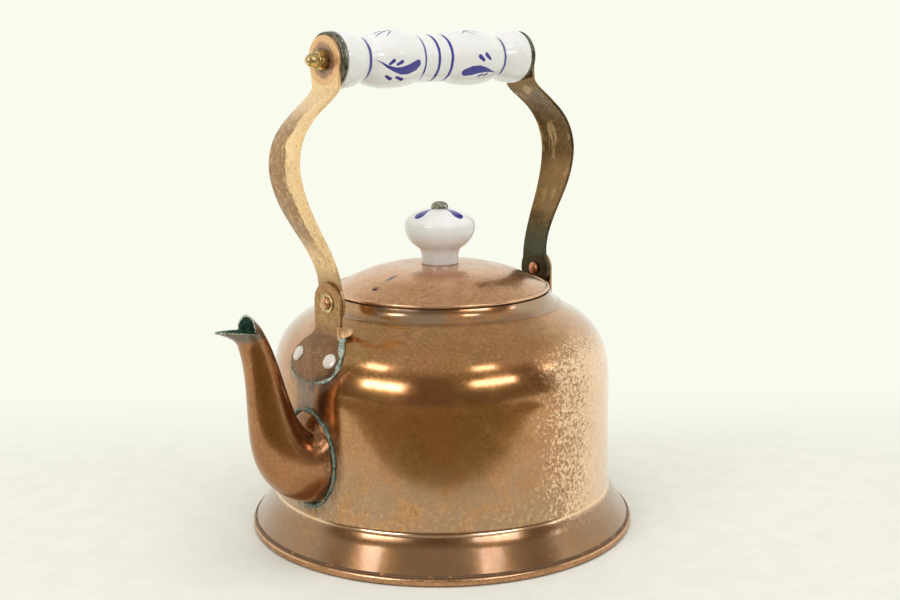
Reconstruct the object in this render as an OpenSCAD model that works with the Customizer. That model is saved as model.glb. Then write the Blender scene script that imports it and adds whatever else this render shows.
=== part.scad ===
// Copper kettle with a lift-off lid and a swinging handle with a porcelain grip.
// Millimetres, +Z up. The base stands on z = 0 with the body axis on Z.
// The spout points towards -X and the handle turns about a line along X.

/* [Body] */
// Radius of the round side wall
wall_r = 87.5; // [80:0.5:95]
// Thickness of the copper sheet
sheet_t = 1.2; // [0.8:0.1:2]
// Height where the side wall meets the flared foot
foot_top_z = 20; // [14:0.5:28]
// Radius of the flared foot where it enters the base seam
foot_r = 98.5; // [92:0.5:106]
// Radius of the folded base seam
base_r = 100; // [94:0.5:108]
// Height of the folded base seam
base_seam_h = 4.2; // [2:0.2:8]
// Height where the side wall turns into the shoulder
shoulder_z = 75.9; // [60:0.5:90]
// Radius of the crease between shoulder and neck
neck_r = 62.2; // [55:0.2:70]
// Height of the crease between shoulder and neck
neck_z = 116.25; // [100:0.25:130]
// Outer radius of the neck's top edge
mouth_r = 56.8; // [50:0.2:62]
// Height of the neck's top edge
mouth_z = 122.5; // [110:0.5:135]

/* [Spout] */
// Half width of the spout where it leaves the wall
spout_root_w = 17.7; // [12:0.1:22]
// Half height of the spout where it leaves the wall
spout_root_h = 23.7; // [16:0.1:28]
// Half width of the spout just below its mouth
spout_tip_w = 6.8; // [4:0.1:9]
// Sheet thickness of the spout
spout_t = 1.0; // [0.8:0.1:1.6]
// Distance of the pouring lip's tip from the body axis
lip_x = 138; // [128:0.5:150]
// Height of the pouring lip's tip
lip_z = 119.8; // [110:0.2:130]
// Height of the hood over the spout's mouth
hood_z = 126; // [116:0.5:134]
// Radius of each strainer hole behind the spout
strainer_r = 2.6; // [1.5:0.1:4]

/* [Brackets] */
// Height of the handle's hinge line
pivot_z = 125; // [115:0.5:135]
// Distance of a bracket tab's outer face from the body axis
tab_x = 73.9; // [70:0.1:80]
// Thickness of the bracket sheet
bracket_t = 1.4; // [1:0.1:2.5]
// Half width of the tab, and radius of its round top
tab_r = 9.9; // [7:0.1:13]
// Angle of each bracket rivet from the spout plane
rivet_az = 8.4; // [5:0.1:12]
// Radius of the bracket rivets' heads
rivet_head_r = 3.8; // [2.5:0.1:5]
// Radius of the hinge rivet's shank
pivot_r = 2.2; // [1.5:0.1:3]
// Radius of the hinge rivet's domed head
pivot_head_r = 3.1; // [2.6:0.1:4]
// Radius of the washer under the hinge rivet's head
washer_r = 4.9; // [3.2:0.1:7]

/* [Lid] */
// Outer radius of the lid's rolled rim
lid_r = 56.35; // [50:0.05:62]
// Underside height of the lid's rolled rim
lid_z = 122.8; // [110:0.1:135]
// Height of the lid's top under the knob
lid_top_z = 136; // [128:0.25:145]
// Outer radius of the locating collar under the lid
collar_r = 54.7; // [48:0.1:60]
// Greatest radius of the knob
knob_r = 18.3; // [12:0.1:24]
// Height of the knob
knob_h = 28.5; // [18:0.5:38]

/* [Handle] */
// Lean of the resting handle from upright, away from the near side
lean = 3.9; // [0:0.1:12]
// Distance from the hinge line to the grip's axis
reach = 115.4; // [100:0.2:130]
// Half length of the porcelain grip
grip_half = 61.5; // [50:0.5:70]
// Greatest radius of the porcelain grip
grip_r = 14.6; // [11:0.1:18]
// Greatest distance of a strap's outer face from the body axis
bulge_x = 95; // [85:0.5:110]
// Thickness of the handle straps
strap_t = 1.6; // [1.2:0.1:3]
// Half width of a strap at its widest
strap_w = 11.7; // [8:0.1:15]
// Radius of the round strap end against the grip
strap_disc_r = 11.7; // [9:0.1:15]
// Radius of the ferrules at the ends of the grip
cap_r = 13.3; // [11:0.1:16]
// Thickness of the ferrules
cap_t = 3.4; // [1:0.1:6]
// Radius of the rod through the grip
rod_r = 2.45; // [2:0.05:4]

/* [Hidden] */
$fn = 96;

// Cubic curve through p[0]..p[3] and its unit normal, to the left of its direction
function cub(t, p) = pow(1 - t, 3) * p[0] + 3 * t * pow(1 - t, 2) * p[1]
    + 3 * t * t * (1 - t) * p[2] + pow(t, 3) * p[3];
function cub_d(t, p) = 3 * pow(1 - t, 2) * (p[1] - p[0]) + 6 * t * (1 - t) * (p[2] - p[1])
    + 3 * t * t * (p[3] - p[2]);
function left(v) = [-v[1], v[0]] / norm(v);
function cub_off(t, p, d) = cub(t, p) + d * left(cub_d(t, p));
function flip(v) = [for (i = [len(v) - 1:-1:0]) v[i]];

// ---- body profile, all as [radius, height] ----
shoulder = [[neck_r, neck_z], [neck_r + 5.1, neck_z - 5.95], [wall_r, shoulder_z + 32.6],
    [wall_r, shoulder_z]];
neck = [[mouth_r, mouth_z], [mouth_r + 1.2, mouth_z - 4.1], [neck_r - 1.6, neck_z + 0.35],
    [neck_r, neck_z]];
foot_slope = (foot_r - wall_r) / (foot_top_z - base_seam_h);
foot_line = function (z) foot_r - foot_slope * (z - base_seam_h);
foot_off = sheet_t * sqrt(1 + foot_slope * foot_slope);
sh_n = 18;
sh_out = [for (i = [0:sh_n]) cub(i / sh_n, shoulder)];
function sh_skin(d) = [for (i = [2:sh_n]) cub_off(i / sh_n, shoulder, d)];
body_out = concat(
    [for (i = [0:5]) cub(i / 6, neck)], sh_out,
    [[wall_r, foot_top_z + 3.2], [wall_r + 0.15, foot_top_z + 1],
     [wall_r + 0.6, foot_top_z - 0.6], [foot_line(foot_top_z - 2.4), foot_top_z - 2.4],
     [foot_r, base_seam_h], [foot_r + 0.1, sheet_t]]);
body_in = concat(
    [[mouth_r - 1.3, mouth_z]], [for (i = [1:5]) cub_off(i / 6, neck, -sheet_t)],
    sh_skin(-sheet_t),
    [[wall_r - sheet_t, foot_top_z + 3.2], [wall_r - sheet_t + 0.15, foot_top_z + 0.7],
     [foot_line(foot_top_z - 2.4) - foot_off, foot_top_z - 2.4],
     [foot_r - foot_off, base_seam_h], [foot_r - foot_off, sheet_t]]);

module body_solid() {
    rotate_extrude() polygon(concat([[0, mouth_z]], body_out, [[0, sheet_t]]));
}

// ---- bracket rivets sit square on the shoulder ----
rivet_t = 0.675;
rivet_p = cub(rivet_t, shoulder);
rivet_n = left(cub_d(rivet_t, shoulder));
rivet_tilt = atan2(rivet_n[0], rivet_n[1]);
rivet_shank_r = 2;
module at_rivets(side) {
    for (a = [-rivet_az, rivet_az])
        rotate([0, 0, side + a]) translate([rivet_p[0], 0, rivet_p[1]])
            rotate([0, rivet_tilt, 0]) children();
}

// ---- spout ----
path = [[-84, 50.5], [-101.5, 49.5], [-113.5, 60.3], [-105.4, 96.8], [-122.6, 121.4]];
function sp_c(t) = pow(1 - t, 4) * path[0] + 4 * t * pow(1 - t, 3) * path[1]
    + 6 * t * t * pow(1 - t, 2) * path[2] + 4 * pow(t, 3) * (1 - t) * path[3]
    + pow(t, 4) * path[4];
function unit(v) = v / norm(v);
function sp_t(t) = unit(sp_c(t + 0.002) - sp_c(t - 0.002));
function wid(t, a) = pow(1 - t, 3) * a[0] + 3 * t * pow(1 - t, 2) * a[1]
    + 3 * t * t * (1 - t) * a[2] + pow(t, 3) * a[3];
sp_a = [spout_root_w, spout_root_w - 2.9, spout_tip_w + 1.1, spout_tip_w];
sp_b = [spout_root_h, spout_root_h - 10.1, spout_tip_w + 2.5, spout_tip_w - 0.8];
sp_m = 32;
sp_k = 22;
lip_k = 7;
t_end = 0.93;
// one point of the tube: t along it, q round it (90 is the lip side), g the growth
function sp_pt(t, q, g) = let (c = sp_c(t), d = sp_t(t), n = [-d[1], d[0]],
        a = wid(t, sp_a) + g, b = wid(t, sp_b) + g)
    [c[0] + b * sin(q) * n[0], a * cos(q), c[1] + b * sin(q) * n[1]];
corner_x = 120.5;
corner_z = 118;
mouth_w = 7.5;
function lip_pt(q, g) = let (s = sin(q), w = mouth_w + g)
    s >= 0
    ? [-corner_x - (lip_x - corner_x + g) * pow(s, 1.2), w * cos(q) * (1 - 0.35 * s),
        corner_z + (lip_z - corner_z) * s - 0.7 * g * s]
    : [-corner_x + 0.8 * s * s, w * cos(q), corner_z - (hood_z - corner_z + g) * s];
function end_pt(u, q, g) = let (p0 = sp_pt(t_end, q, g), d = sp_t(t_end),
        p2 = lip_pt(q, g), p1 = p0 + 5 * [d[0], 0, d[1]])
    pow(1 - u, 2) * p0 + 2 * u * (1 - u) * p1 + u * u * p2;
// the first rings are held out from the wall, so the root lies flat on it
root_step = 0.6;
root_gap = 0.04;
function off_wall(p, i) =
    [min(p[0], -sqrt(wall_r * wall_r - p[1] * p[1]) - root_gap - root_step * i), p[1], p[2]];
function sp_at(i, q, g) = i <= sp_k ? off_wall(sp_pt(t_end * i / sp_k, q, g), i)
    : end_pt((i - sp_k) / lip_k, q, g);
function sp_ring(i, g) = [for (j = [0:sp_m - 1]) sp_at(i, 360 * j / sp_m, g)];
function quad(a, b, c, d) = [[a, b, c], [a, c, d]];
function skin(rings, m, base) = [for (i = [0:rings - 2], j = [0:m - 1])
    let (k = (j + 1) % m)
    each quad(base + i * m + j, base + i * m + k, base + (i + 1) * m + k,
        base + (i + 1) * m + j)];
function turn(f) = [for (x = f) [x[2], x[1], x[0]]];
sp_rings = sp_k + lip_k + 1;

module spout_tube() {
    outer = [for (i = [0:sp_rings - 1]) each sp_ring(i, 0)];
    inner = [for (i = [0:sp_rings - 1]) each sp_ring(i, -spout_t)];
    n = len(outer);
    last = (sp_rings - 1) * sp_m;
    polyhedron(points = concat(outer, inner), faces = concat(
        turn(skin(sp_rings, sp_m, 0)), skin(sp_rings, sp_m, n),
        [for (j = [0:sp_m - 1]) let (k = (j + 1) % sp_m) each quad(j, k, n + k, n + j)],
        [for (j = [0:sp_m - 1]) let (k = (j + 1) % sp_m)
            each quad(last + k, last + j, n + last + j, n + last + k)]));
}

// solder bead: on the wall, then up the first rings of the spout
bead = 1.5;
module root_bead() {
    pts = [for (j = [0:sp_m - 1]) let (q = 360 * j / sp_m)
        each [sp_at(0, q, bead), sp_at(0, q, 0), sp_at(1, q, 0), sp_at(2, q, 0)]];
    polyhedron(points = pts, faces = [for (j = [0:sp_m - 1], k = [0:3])
        let (n = (j + 1) % sp_m, m = (k + 1) % 4)
        each quad(4 * j + k, 4 * j + m, 4 * n + m, 4 * n + k)]);
}

// ---- handle strap, seen along the hinge line and from the side ----
function strap_at(i, n) = i < n
    ? [[tab_x - 1.9, pivot_z + 6], [tab_x - 1.8, pivot_z + 25], [bulge_x - 1.5, pivot_z + 41],
        [bulge_x, pivot_z + 65]]
    : [[bulge_x, pivot_z + 65], [bulge_x, pivot_z + 91], [strap_top_x + 0.5, pivot_z + 96],
        [strap_top_x, pivot_z + 104]];
strap_top_x = grip_half + cap_t + strap_t;
st_n = 14;
strap_in_x = tab_x - 1.9;
strap_outer = concat([[strap_in_x, pivot_z - 12]],
    [for (i = [0:2 * st_n]) let (k = i < st_n ? i : i - st_n)
        cub(k / st_n, strap_at(i, st_n))],
    [[strap_top_x, pivot_z + reach + 14]]);
strap_inner = concat([[strap_in_x - strap_t, pivot_z - 12]],
    [for (i = [0:2 * st_n]) let (k = i < st_n ? i : i - st_n)
        cub_off(k / st_n, strap_at(i, st_n), strap_t)],
    [[strap_top_x - strap_t, pivot_z + reach + 14]]);
edge_a = [[8.4, pivot_z + 5.5], [7.3, pivot_z + 17], [8.2, pivot_z + 24],
    [strap_w - 1.7, pivot_z + 40]];
edge_b = [[strap_w - 1.7, pivot_z + 40], [strap_w, pivot_z + 52], [strap_w + 0.6, pivot_z + 74],
    [strap_w - 1.6, pivot_z + 90]];
edge = concat([for (i = [0:8]) cub(i / 8, edge_a)], [for (i = [1:8]) cub(i / 8, edge_b)],
    [[10.2, pivot_z + 98], [10.3, pivot_z + reach - 5.5]]);

module strap(side) {
    difference() {
        intersection() {
            rotate([90, 0, 0]) translate([0, 0, -20]) linear_extrude(40)
                polygon([for (p = concat(strap_outer, flip(strap_inner)))
                    [side * p[0], p[1]]]);
            rotate([90, 0, 90]) translate([0, 0, -110]) linear_extrude(220) union() {
                polygon(concat(edge, [for (p = flip(edge)) [-p[0], p[1]]]));
                translate([0, pivot_z]) circle(r = 10);
                translate([0, pivot_z + reach]) circle(r = strap_disc_r);
            }
        }
        translate([0, 0, pivot_z]) rotate([0, 90, 0])
            cylinder(r = pivot_r + 0.06, h = 240, center = true);
        translate([0, 0, pivot_z + reach]) rotate([0, 90, 0])
            cylinder(r = rod_r + 0.03, h = 240, center = true);
    }
}

// the handle leans about its hinge line
module leaned() {
    translate([0, 0, pivot_z]) rotate([-lean, 0, 0]) translate([0, 0, -pivot_z]) children();
}
// a turned piece whose axis is the grip's axis
module on_grip() {
    leaned() translate([0, 0, pivot_z + reach]) rotate([0, 90, 0]) children();
}

// ---- the pieces ----
module body_shell() color([0.66, 0.40, 0.26]) difference() {
    rotate_extrude() polygon(concat(body_out, flip(body_in)));
    at_rivets(0) cylinder(r = rivet_shank_r + 0.05, h = 12, center = true);
    at_rivets(180) cylinder(r = rivet_shank_r + 0.05, h = 12, center = true);
    for (z = [37:9:64], y = [-9:9:9])
        translate([-wall_r, y, z]) rotate([0, 90, 0])
            cylinder(r = strainer_r, h = 16, center = true, $fn = 24);
}

module base_plate() color([0.62, 0.38, 0.25]) rotate_extrude()
    polygon([[0, 0], [base_r - 1.2, 0], [base_r - 0.4, 0.5], [base_r, 1.5],
        [base_r, base_seam_h - 1.2], [base_r - 0.4, base_seam_h - 0.3],
        [base_r - 1, base_seam_h], [foot_r, base_seam_h], [foot_r + 0.1, sheet_t],
        [0, sheet_t]]);

module base_solder_seam() color([0.45, 0.44, 0.38]) rotate_extrude()
    polygon([[foot_r, base_seam_h], [foot_r + 0.5, base_seam_h],
        [foot_r + 0.1, base_seam_h + 0.5], [foot_r - 0.5, base_seam_h + 1.1],
        [foot_line(base_seam_h + 1.9), base_seam_h + 1.9]]);

module spout() color([0.64, 0.39, 0.25]) spout_tube();

module spout_solder_seam() color([0.50, 0.50, 0.44]) root_bead();

pear = [[tab_r, 114], [tab_r, 112.4], [10.6, 110], [12.6, 107.4], [15.2, 104.6],
    [17, 101.2], [17.6, 98.2], [16.9, 95], [14.6, 92.2], [10.8, 90.3], [5.6, 89.3],
    [0, 89]];
wing = [[tab_r - 0.5, 114.8], [tab_r, 114.8], [14.8, 114], [15.5, 113], [14.4, 111.6],
    [tab_r, 109], [tab_r - 0.5, 109]];
module bracket() {
    difference() {
        union() {
            // plate lying on the shoulder
            intersection() {
                rotate_extrude() polygon(concat(sh_skin(bracket_t), flip(sh_skin(0))));
                rotate([90, 0, 90]) linear_extrude(120)
                    polygon(concat(pear, [for (p = flip(pear)) [-p[0], p[1]]]));
            }
            // upright tab with a round top
            translate([tab_x - bracket_t, 0, 0]) rotate([90, 0, 90])
                linear_extrude(bracket_t) union() {
                    translate([0, pivot_z]) circle(r = tab_r);
                    translate([-tab_r, 106]) square([2 * tab_r, pivot_z - 106]);
                }
            // bend between tab and plate
            rotate([90, 0, 0]) translate([0, 0, -tab_r]) linear_extrude(2 * tab_r)
                polygon([[tab_x, 115], [tab_x + 0.4, 112.6], [tab_x + 1.5, 110.9],
                    [tab_x + 3.4, 109.6], [tab_x + 3.4, 106], [tab_x - bracket_t, 106],
                    [tab_x - bracket_t, 115]]);
            // bent stop that catches the strap when the handle is folded down
            intersection() {
                linear_extrude(130) polygon([[tab_x, tab_r - 0.5], [tab_x, tab_r + 0.5],
                    [tab_x - 5.2, 15.9], [tab_x - 6.2, 14.9], [tab_x - bracket_t, tab_r + 0.2],
                    [tab_x - bracket_t, tab_r - 0.5]]);
                rotate([90, 0, 90]) linear_extrude(120) polygon(wing);
            }
        }
        body_solid();
        at_rivets(0) cylinder(r = rivet_shank_r + 0.05, h = 12, center = true);
        translate([0, 0, pivot_z]) rotate([0, 90, 0])
            cylinder(r = pivot_r + 0.03, h = 120);
    }
}

module front_bracket() color([0.62, 0.42, 0.28]) rotate([0, 0, 180]) bracket();
module rear_bracket() color([0.62, 0.42, 0.28]) bracket();

module bracket_rivets() color([0.80, 0.74, 0.68])
    for (s = [0, 180]) at_rivets(s) {
        translate([0, 0, -sheet_t - 0.5]) cylinder(r = rivet_shank_r, h = sheet_t + bracket_t + 0.6);
        translate([0, 0, bracket_t + 0.02]) cylinder(r1 = rivet_head_r, r2 = rivet_head_r - 0.5,
            h = 0.9);
        translate([0, 0, -sheet_t - 1.4]) cylinder(r = 3.1, h = 0.95);
    }

module pivot_rivet() {
    rotate([0, 90, 0]) {
        translate([0, 0, tab_x - 4.4]) cylinder(r = pivot_r, h = 5.4);
        translate([0, 0, tab_x + 0.6]) cylinder(r = pivot_head_r, h = 0.6);
        translate([0, 0, tab_x + 1.2]) cylinder(r1 = pivot_head_r, r2 = 1.6, h = 1.1);
        translate([0, 0, tab_x - 4.6]) cylinder(r = 3.3, h = 0.8);
        translate([0, 0, tab_x - 5.5]) cylinder(r1 = 1.8, r2 = 3.3, h = 0.9);
    }
}
module pivot_rivets() color([0.70, 0.42, 0.26]) translate([0, 0, pivot_z]) {
    pivot_rivet();
    mirror([1, 0, 0]) pivot_rivet();
}

module pivot_washers() color([0.66, 0.58, 0.32]) translate([0, 0, pivot_z])
    for (m = [0, 1]) mirror([m, 0, 0]) rotate([0, 90, 0]) translate([0, 0, tab_x])
        difference() {
            cylinder(r = washer_r, h = 0.6);
            translate([0, 0, -1]) cylinder(r = pivot_r + 0.03, h = 3);
        }

lid_t = 1.1;
dome = [[10, lid_top_z], [16, lid_top_z - 0.1], [24, lid_top_z - 0.7], [32, lid_top_z - 2.1],
    [40, lid_top_z - 4.5], [47, lid_top_z - 7.6], [52, lid_top_z - 10.1],
    [54, lid_top_z - 11.3]];
module lid_shell() color([0.78, 0.58, 0.45]) difference() {
    rotate_extrude() polygon(concat([[0, lid_top_z]], dome,
        [[54.6, lid_z + 1.7], [55.1, lid_z + 2.05], [55.7, lid_z + 2],
         [lid_r - 0.15, lid_z + 1.55], [lid_r, lid_z + 1], [lid_r - 0.15, lid_z + 0.45],
         [lid_r - 0.6, lid_z + 0.05], [55.2, lid_z], [53.4, lid_z], [53.1, lid_z + 0.9]],
        flip([for (p = dome) [p[0] - 0.35, p[1] - lid_t]]), [[0, lid_top_z - lid_t]]));
    cylinder(r = 2.1, h = 200);
}

module lid_collar() color([0.60, 0.42, 0.28]) rotate_extrude()
    polygon([[collar_r, lid_z], [collar_r, lid_z - 8.4], [collar_r - 0.4, lid_z - 9],
        [collar_r - 1.1, lid_z - 9], [collar_r - 1.1, lid_z]]);

knob_low = [[9.7, 0], [9.5, 3], [9.2, 7], [11.6, 8.6]];
knob_side = [[11.6, 8.6], [16.2, 11.4], [knob_r + 0.2, 15.5], [knob_r, 20.2]];
knob_top = [[knob_r, 20.2], [knob_r - 0.2, 24.4], [12.6, knob_h - 0.6], [4.6, knob_h]];
module lid_knob() color([0.95, 0.95, 0.95]) translate([0, 0, lid_top_z]) rotate_extrude()
    polygon(concat([[2.15, 0], [9.2, 0]], [for (i = [0:5]) cub(i / 5, knob_low)],
        [for (i = [1:7]) cub(i / 7, knob_side)], [for (i = [1:8]) cub(i / 8, knob_top)],
        [[2.15, knob_h]]));

screw_z = lid_top_z + knob_h;
module knob_screw() color([0.52, 0.52, 0.46]) difference() {
    union() {
        translate([0, 0, screw_z]) rotate_extrude() polygon([[0, 0], [4.2, 0], [4.4, 0.5],
            [4.3, 1.4], [3.7, 2.4], [2.6, 3.1], [1.3, 3.45], [0, 3.5]]);
        translate([0, 0, lid_top_z - 8.5]) cylinder(r = 2, h = knob_h + 8.6);
    }
    rotate([0, 0, -52]) translate([-6, -0.65, screw_z + 2]) cube([12, 1.3, 4]);
}
module knob_washer() color([0.60, 0.56, 0.40]) translate([0, 0, lid_top_z - lid_t - 1])
    difference() {
        cylinder(r = 6.5, h = 1);
        translate([0, 0, -1]) cylinder(r = 2.1, h = 3);
    }
module knob_nut() color([0.60, 0.54, 0.34]) translate([0, 0, lid_top_z - lid_t - 4.2])
    difference() {
        cylinder(r = 4.04, h = 3.2, $fn = 6);
        translate([0, 0, -1]) cylinder(r = 2.03, h = 6);
    }

module front_strap() color([0.84, 0.66, 0.48]) leaned() strap(-1);
module rear_strap() color([0.42, 0.30, 0.19]) leaned() strap(1);

flare = [[13.6, grip_half], [14, grip_half - 1.6], [13.9, grip_half - 5.2],
    [13.1, grip_half - 9.8], [11.7, grip_half - 13.4], [10.6, grip_half - 16],
    [11.3, grip_half - 18.3]];
egg = [[11.3, grip_half - 18.3], [grip_r, grip_half - 22.5], [grip_r + 1.5, grip_half - 39.5],
    [12, grip_half - 50.5]];
grip_side = concat(flare, [for (i = [1:10]) cub(i / 10, egg)], [[12, 0]]);
module grip() color([0.95, 0.95, 0.96]) on_grip() rotate_extrude()
    polygon(concat([[3, grip_half]], grip_side,
        flip([for (p = grip_side) [p[0], -p[1]]]), [[3, -grip_half]]));

rod_half = strap_top_x + 6;
module grip_rod() color([0.55, 0.55, 0.53]) on_grip()
    cylinder(r = rod_r, h = 2 * rod_half, center = true);

module end_cap() {
    rotate_extrude() polygon([[rod_r + 0.05, 0], [cap_r - 0.6, 0], [cap_r, 0.5],
        [cap_r, cap_t - 0.6], [cap_r - 0.6, cap_t], [rod_r + 0.05, cap_t]]);
}
module front_end_cap() color([0.42, 0.42, 0.34]) on_grip()
    mirror([0, 0, 1]) translate([0, 0, grip_half]) end_cap();
module rear_end_cap() color([0.42, 0.42, 0.34]) on_grip()
    translate([0, 0, grip_half]) end_cap();

module acorn_nut() {
    difference() {
        union() {
            cylinder(r = 5.15, h = 4.2, $fn = 6);
            rotate_extrude() polygon([[0, 4.2], [3.45, 4.2], [3.4, 6.2], [3.1, 7.6],
                [2.5, 8.85], [1.4, 9.9], [0, 10.2]]);
        }
        translate([0, 0, -1]) cylinder(r = rod_r + 0.03, h = 8);
    }
}
module acorn_nuts() color([0.62, 0.52, 0.28]) on_grip()
    for (m = [0, 1]) mirror([0, 0, m]) translate([0, 0, strap_top_x]) acorn_nut();

body_shell();
base_plate();
base_solder_seam();
spout();
spout_solder_seam();
front_bracket();
rear_bracket();
bracket_rivets();
pivot_rivets();
pivot_washers();
lid_shell();
lid_collar();
lid_knob();
knob_screw();
knob_washer();
knob_nut();
front_strap();
rear_strap();
grip();
grip_rod();
front_end_cap();
rear_end_cap();
acorn_nuts();
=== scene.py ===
"""A worn copper kettle with a porcelain grip and knob, dressed over its CAD frame."""

import math

import bmesh
import bpy
from mathutils import Matrix, Vector, noise


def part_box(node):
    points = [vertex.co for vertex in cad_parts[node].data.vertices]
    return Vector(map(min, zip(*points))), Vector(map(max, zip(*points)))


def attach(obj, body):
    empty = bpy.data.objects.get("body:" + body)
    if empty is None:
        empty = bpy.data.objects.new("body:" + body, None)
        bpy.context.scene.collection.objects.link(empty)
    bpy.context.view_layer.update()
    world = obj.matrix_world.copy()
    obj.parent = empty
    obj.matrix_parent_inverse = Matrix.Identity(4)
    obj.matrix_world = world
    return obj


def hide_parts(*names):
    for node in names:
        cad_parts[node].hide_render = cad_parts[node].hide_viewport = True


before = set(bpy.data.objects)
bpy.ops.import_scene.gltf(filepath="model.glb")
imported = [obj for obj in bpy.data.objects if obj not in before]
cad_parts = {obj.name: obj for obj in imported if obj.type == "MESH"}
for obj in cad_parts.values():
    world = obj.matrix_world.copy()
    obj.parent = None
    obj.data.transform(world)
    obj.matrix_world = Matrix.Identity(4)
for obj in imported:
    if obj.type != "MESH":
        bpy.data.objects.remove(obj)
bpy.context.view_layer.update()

MM = 0.001
KETTLE = "kettle"
LID = "lid"
HANDLE = "handle"


# ---------------------------------------------------------------- sizes, in millimetres
def low(node):
    """Lowest corner of a CAD node's box, in millimetres."""
    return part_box(node)[0] / MM


def high(node):
    """Highest corner of a CAD node's box, in millimetres."""
    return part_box(node)[1] / MM


SHEET = 1.2
NECK_TOP_Z = high("body_shell").z
NECK_TOP_R = 56.8
CREASE = (62.2, NECK_TOP_Z - 6.25)
WALL_R = 87.5
SHOULDER_Z = 75.9
FOOT_R = 98.5
BASE_R = high("base_plate").x
SEAM_Z = high("base_plate").z
LIP_X = -low("spout").x
HOOD_Z = high("spout").z
PIVOT_Z = (low("pivot_washers").z + high("pivot_washers").z) / 2
WASHER_T = 0.6
TAB_X = high("pivot_washers").x - WASHER_T
LID_R = high("lid_shell").x
LID_RIM_Z = low("lid_shell").z
LID_TOP_Z = high("lid_shell").z
KNOB_R = high("lid_knob").x
KNOB_TOP_Z = high("lid_knob").z
GRIP_HALF = high("grip").x
GRIP_Y = (low("grip").y + high("grip").y) / 2
GRIP_Z = (low("grip").z + high("grip").z) / 2
REACH = math.hypot(GRIP_Y, GRIP_Z - PIVOT_Z)
LEAN = math.atan2(GRIP_Y, GRIP_Z - PIVOT_Z)
CAP_T = high("rear_end_cap").x - GRIP_HALF
STRAP_T = 1.6
STRAP_TOP_X = GRIP_HALF + CAP_T + STRAP_T
BULGE_X = high("rear_strap").x

SHOULDER = [CREASE, (67.3, CREASE[1] - 5.95), (WALL_R, SHOULDER_Z + 32.6), (WALL_R, SHOULDER_Z)]
NECK = [(NECK_TOP_R, NECK_TOP_Z), (58.0, NECK_TOP_Z - 4.1), (60.6, CREASE[1] + 0.35), CREASE]


# ---------------------------------------------------------------- curves
def cubic(t, p):
    """Point at t on the cubic curve with control points p."""
    u = 1 - t
    weights = (u * u * u, 3 * t * u * u, 3 * t * t * u, t * t * t)
    return tuple(sum(w * q[k] for w, q in zip(weights, p)) for k in range(len(p[0])))


def curve(p, count, start=0):
    """Points start..count of count even steps along a cubic."""
    return [cubic(i / count, p) for i in range(start, count + 1)]


def slope(t, p):
    """Unit direction of a plane cubic at t."""
    a = cubic(max(t - 1e-3, 0), p)
    b = cubic(min(t + 1e-3, 1), p)
    length = math.hypot(b[0] - a[0], b[1] - a[1])
    return ((b[0] - a[0]) / length, (b[1] - a[1]) / length)


def beside(t, p, distance):
    """Point at t, moved to the left of the curve's direction."""
    x, z = cubic(t, p)
    dx, dz = slope(t, p)
    return (x - dz * distance, z + dx * distance)


def smooth(points, steps):
    """Catmull-Rom curve through plane points, with that many steps per span."""
    padded = [points[0]] + list(points) + [points[-1]]
    out = []
    for a, b, c, d in zip(padded, padded[1:], padded[2:], padded[3:]):
        for k in range(steps):
            t = k / steps
            out.append(tuple(
                0.5 * (2 * q + (r - p) * t + (2 * p - 5 * q + 4 * r - s) * t * t
                       + (3 * q - p - 3 * r + s) * t ** 3)
                for p, q, r, s in zip(a, b, c, d)
            ))
    out.append(points[-1])
    return out


def between(x, table):
    """Straight-line value at x of a table of (x, value) rows in rising x."""
    if x <= table[0][0]:
        return table[0][1]
    for (x0, y0), (x1, y1) in zip(table, table[1:]):
        if x <= x1:
            return y0 + (y1 - y0) * (x - x0) / (x1 - x0)
    return table[-1][1]


def wobble(x, y, z, size):
    """Smooth noise from -1 to 1 with features of that size."""
    return noise.noise(Vector((x, y, z)) / size)


# ---------------------------------------------------------------- mesh builders
def raw_mesh(name, shape):
    """A mesh of a shape, which is its points in millimetres and its faces."""
    mesh = bpy.data.meshes.new(name)
    mesh.from_pydata([tuple(c * MM for c in v) for v in shape[0]], [], shape[1])
    return mesh


def link(name, data):
    """A new object in the scene."""
    obj = bpy.data.objects.new(name, data)
    bpy.context.scene.collection.objects.link(obj)
    return obj


def piece(name, shape, material, body, stands_for, crease):
    """A finished piece: welded, smooth up to crease degrees, riding on its CAD body."""
    mesh = raw_mesh(name, shape)
    tidy = bmesh.new()
    tidy.from_mesh(mesh)
    bmesh.ops.remove_doubles(tidy, verts=tidy.verts, dist=2e-6)
    bmesh.ops.dissolve_degenerate(tidy, edges=tidy.edges, dist=1e-7)
    bmesh.ops.recalc_face_normals(tidy, faces=tidy.faces)
    tidy.to_mesh(mesh)
    tidy.free()
    mesh.materials.append(material)
    obj = link(name, mesh)
    soften(obj, crease)
    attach(obj, body)
    if stands_for:
        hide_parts(*stands_for)
    return obj


def soften(obj, crease):
    """Smooth shading that keeps edges sharper than crease degrees."""
    obj.data.shade_smooth()
    obj.data.set_sharp_from_angle(angle=math.radians(crease))


def cut(obj, cutters, crease):
    """Takes the cutter meshes out of a piece, then removes them."""
    for cutter in cutters:
        tool = obj.modifiers.new("cut", "BOOLEAN")
        tool.operation = "DIFFERENCE"
        tool.solver = "EXACT"
        tool.object = cutter
    held = bpy.context.evaluated_depsgraph_get()
    made = bpy.data.meshes.new_from_object(obj.evaluated_get(held))
    obj.modifiers.clear()
    obj.data = made
    for cutter in cutters:
        bpy.data.objects.remove(cutter)
    soften(obj, crease)


def peg(ends, sides, place):
    """A closed peg used only for cutting. place(end, cosine, sine) gives a point of its rim."""
    turns = [2 * math.pi * k / sides for k in range(sides)]
    verts = [place(end, math.cos(a), math.sin(a)) for end in ends for a in turns]
    faces = grid_faces(2, sides, False, True)
    faces += [tuple(reversed(range(sides))), tuple(range(sides, 2 * sides))]
    return link("cutter", raw_mesh("cutter", (verts, faces)))


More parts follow.
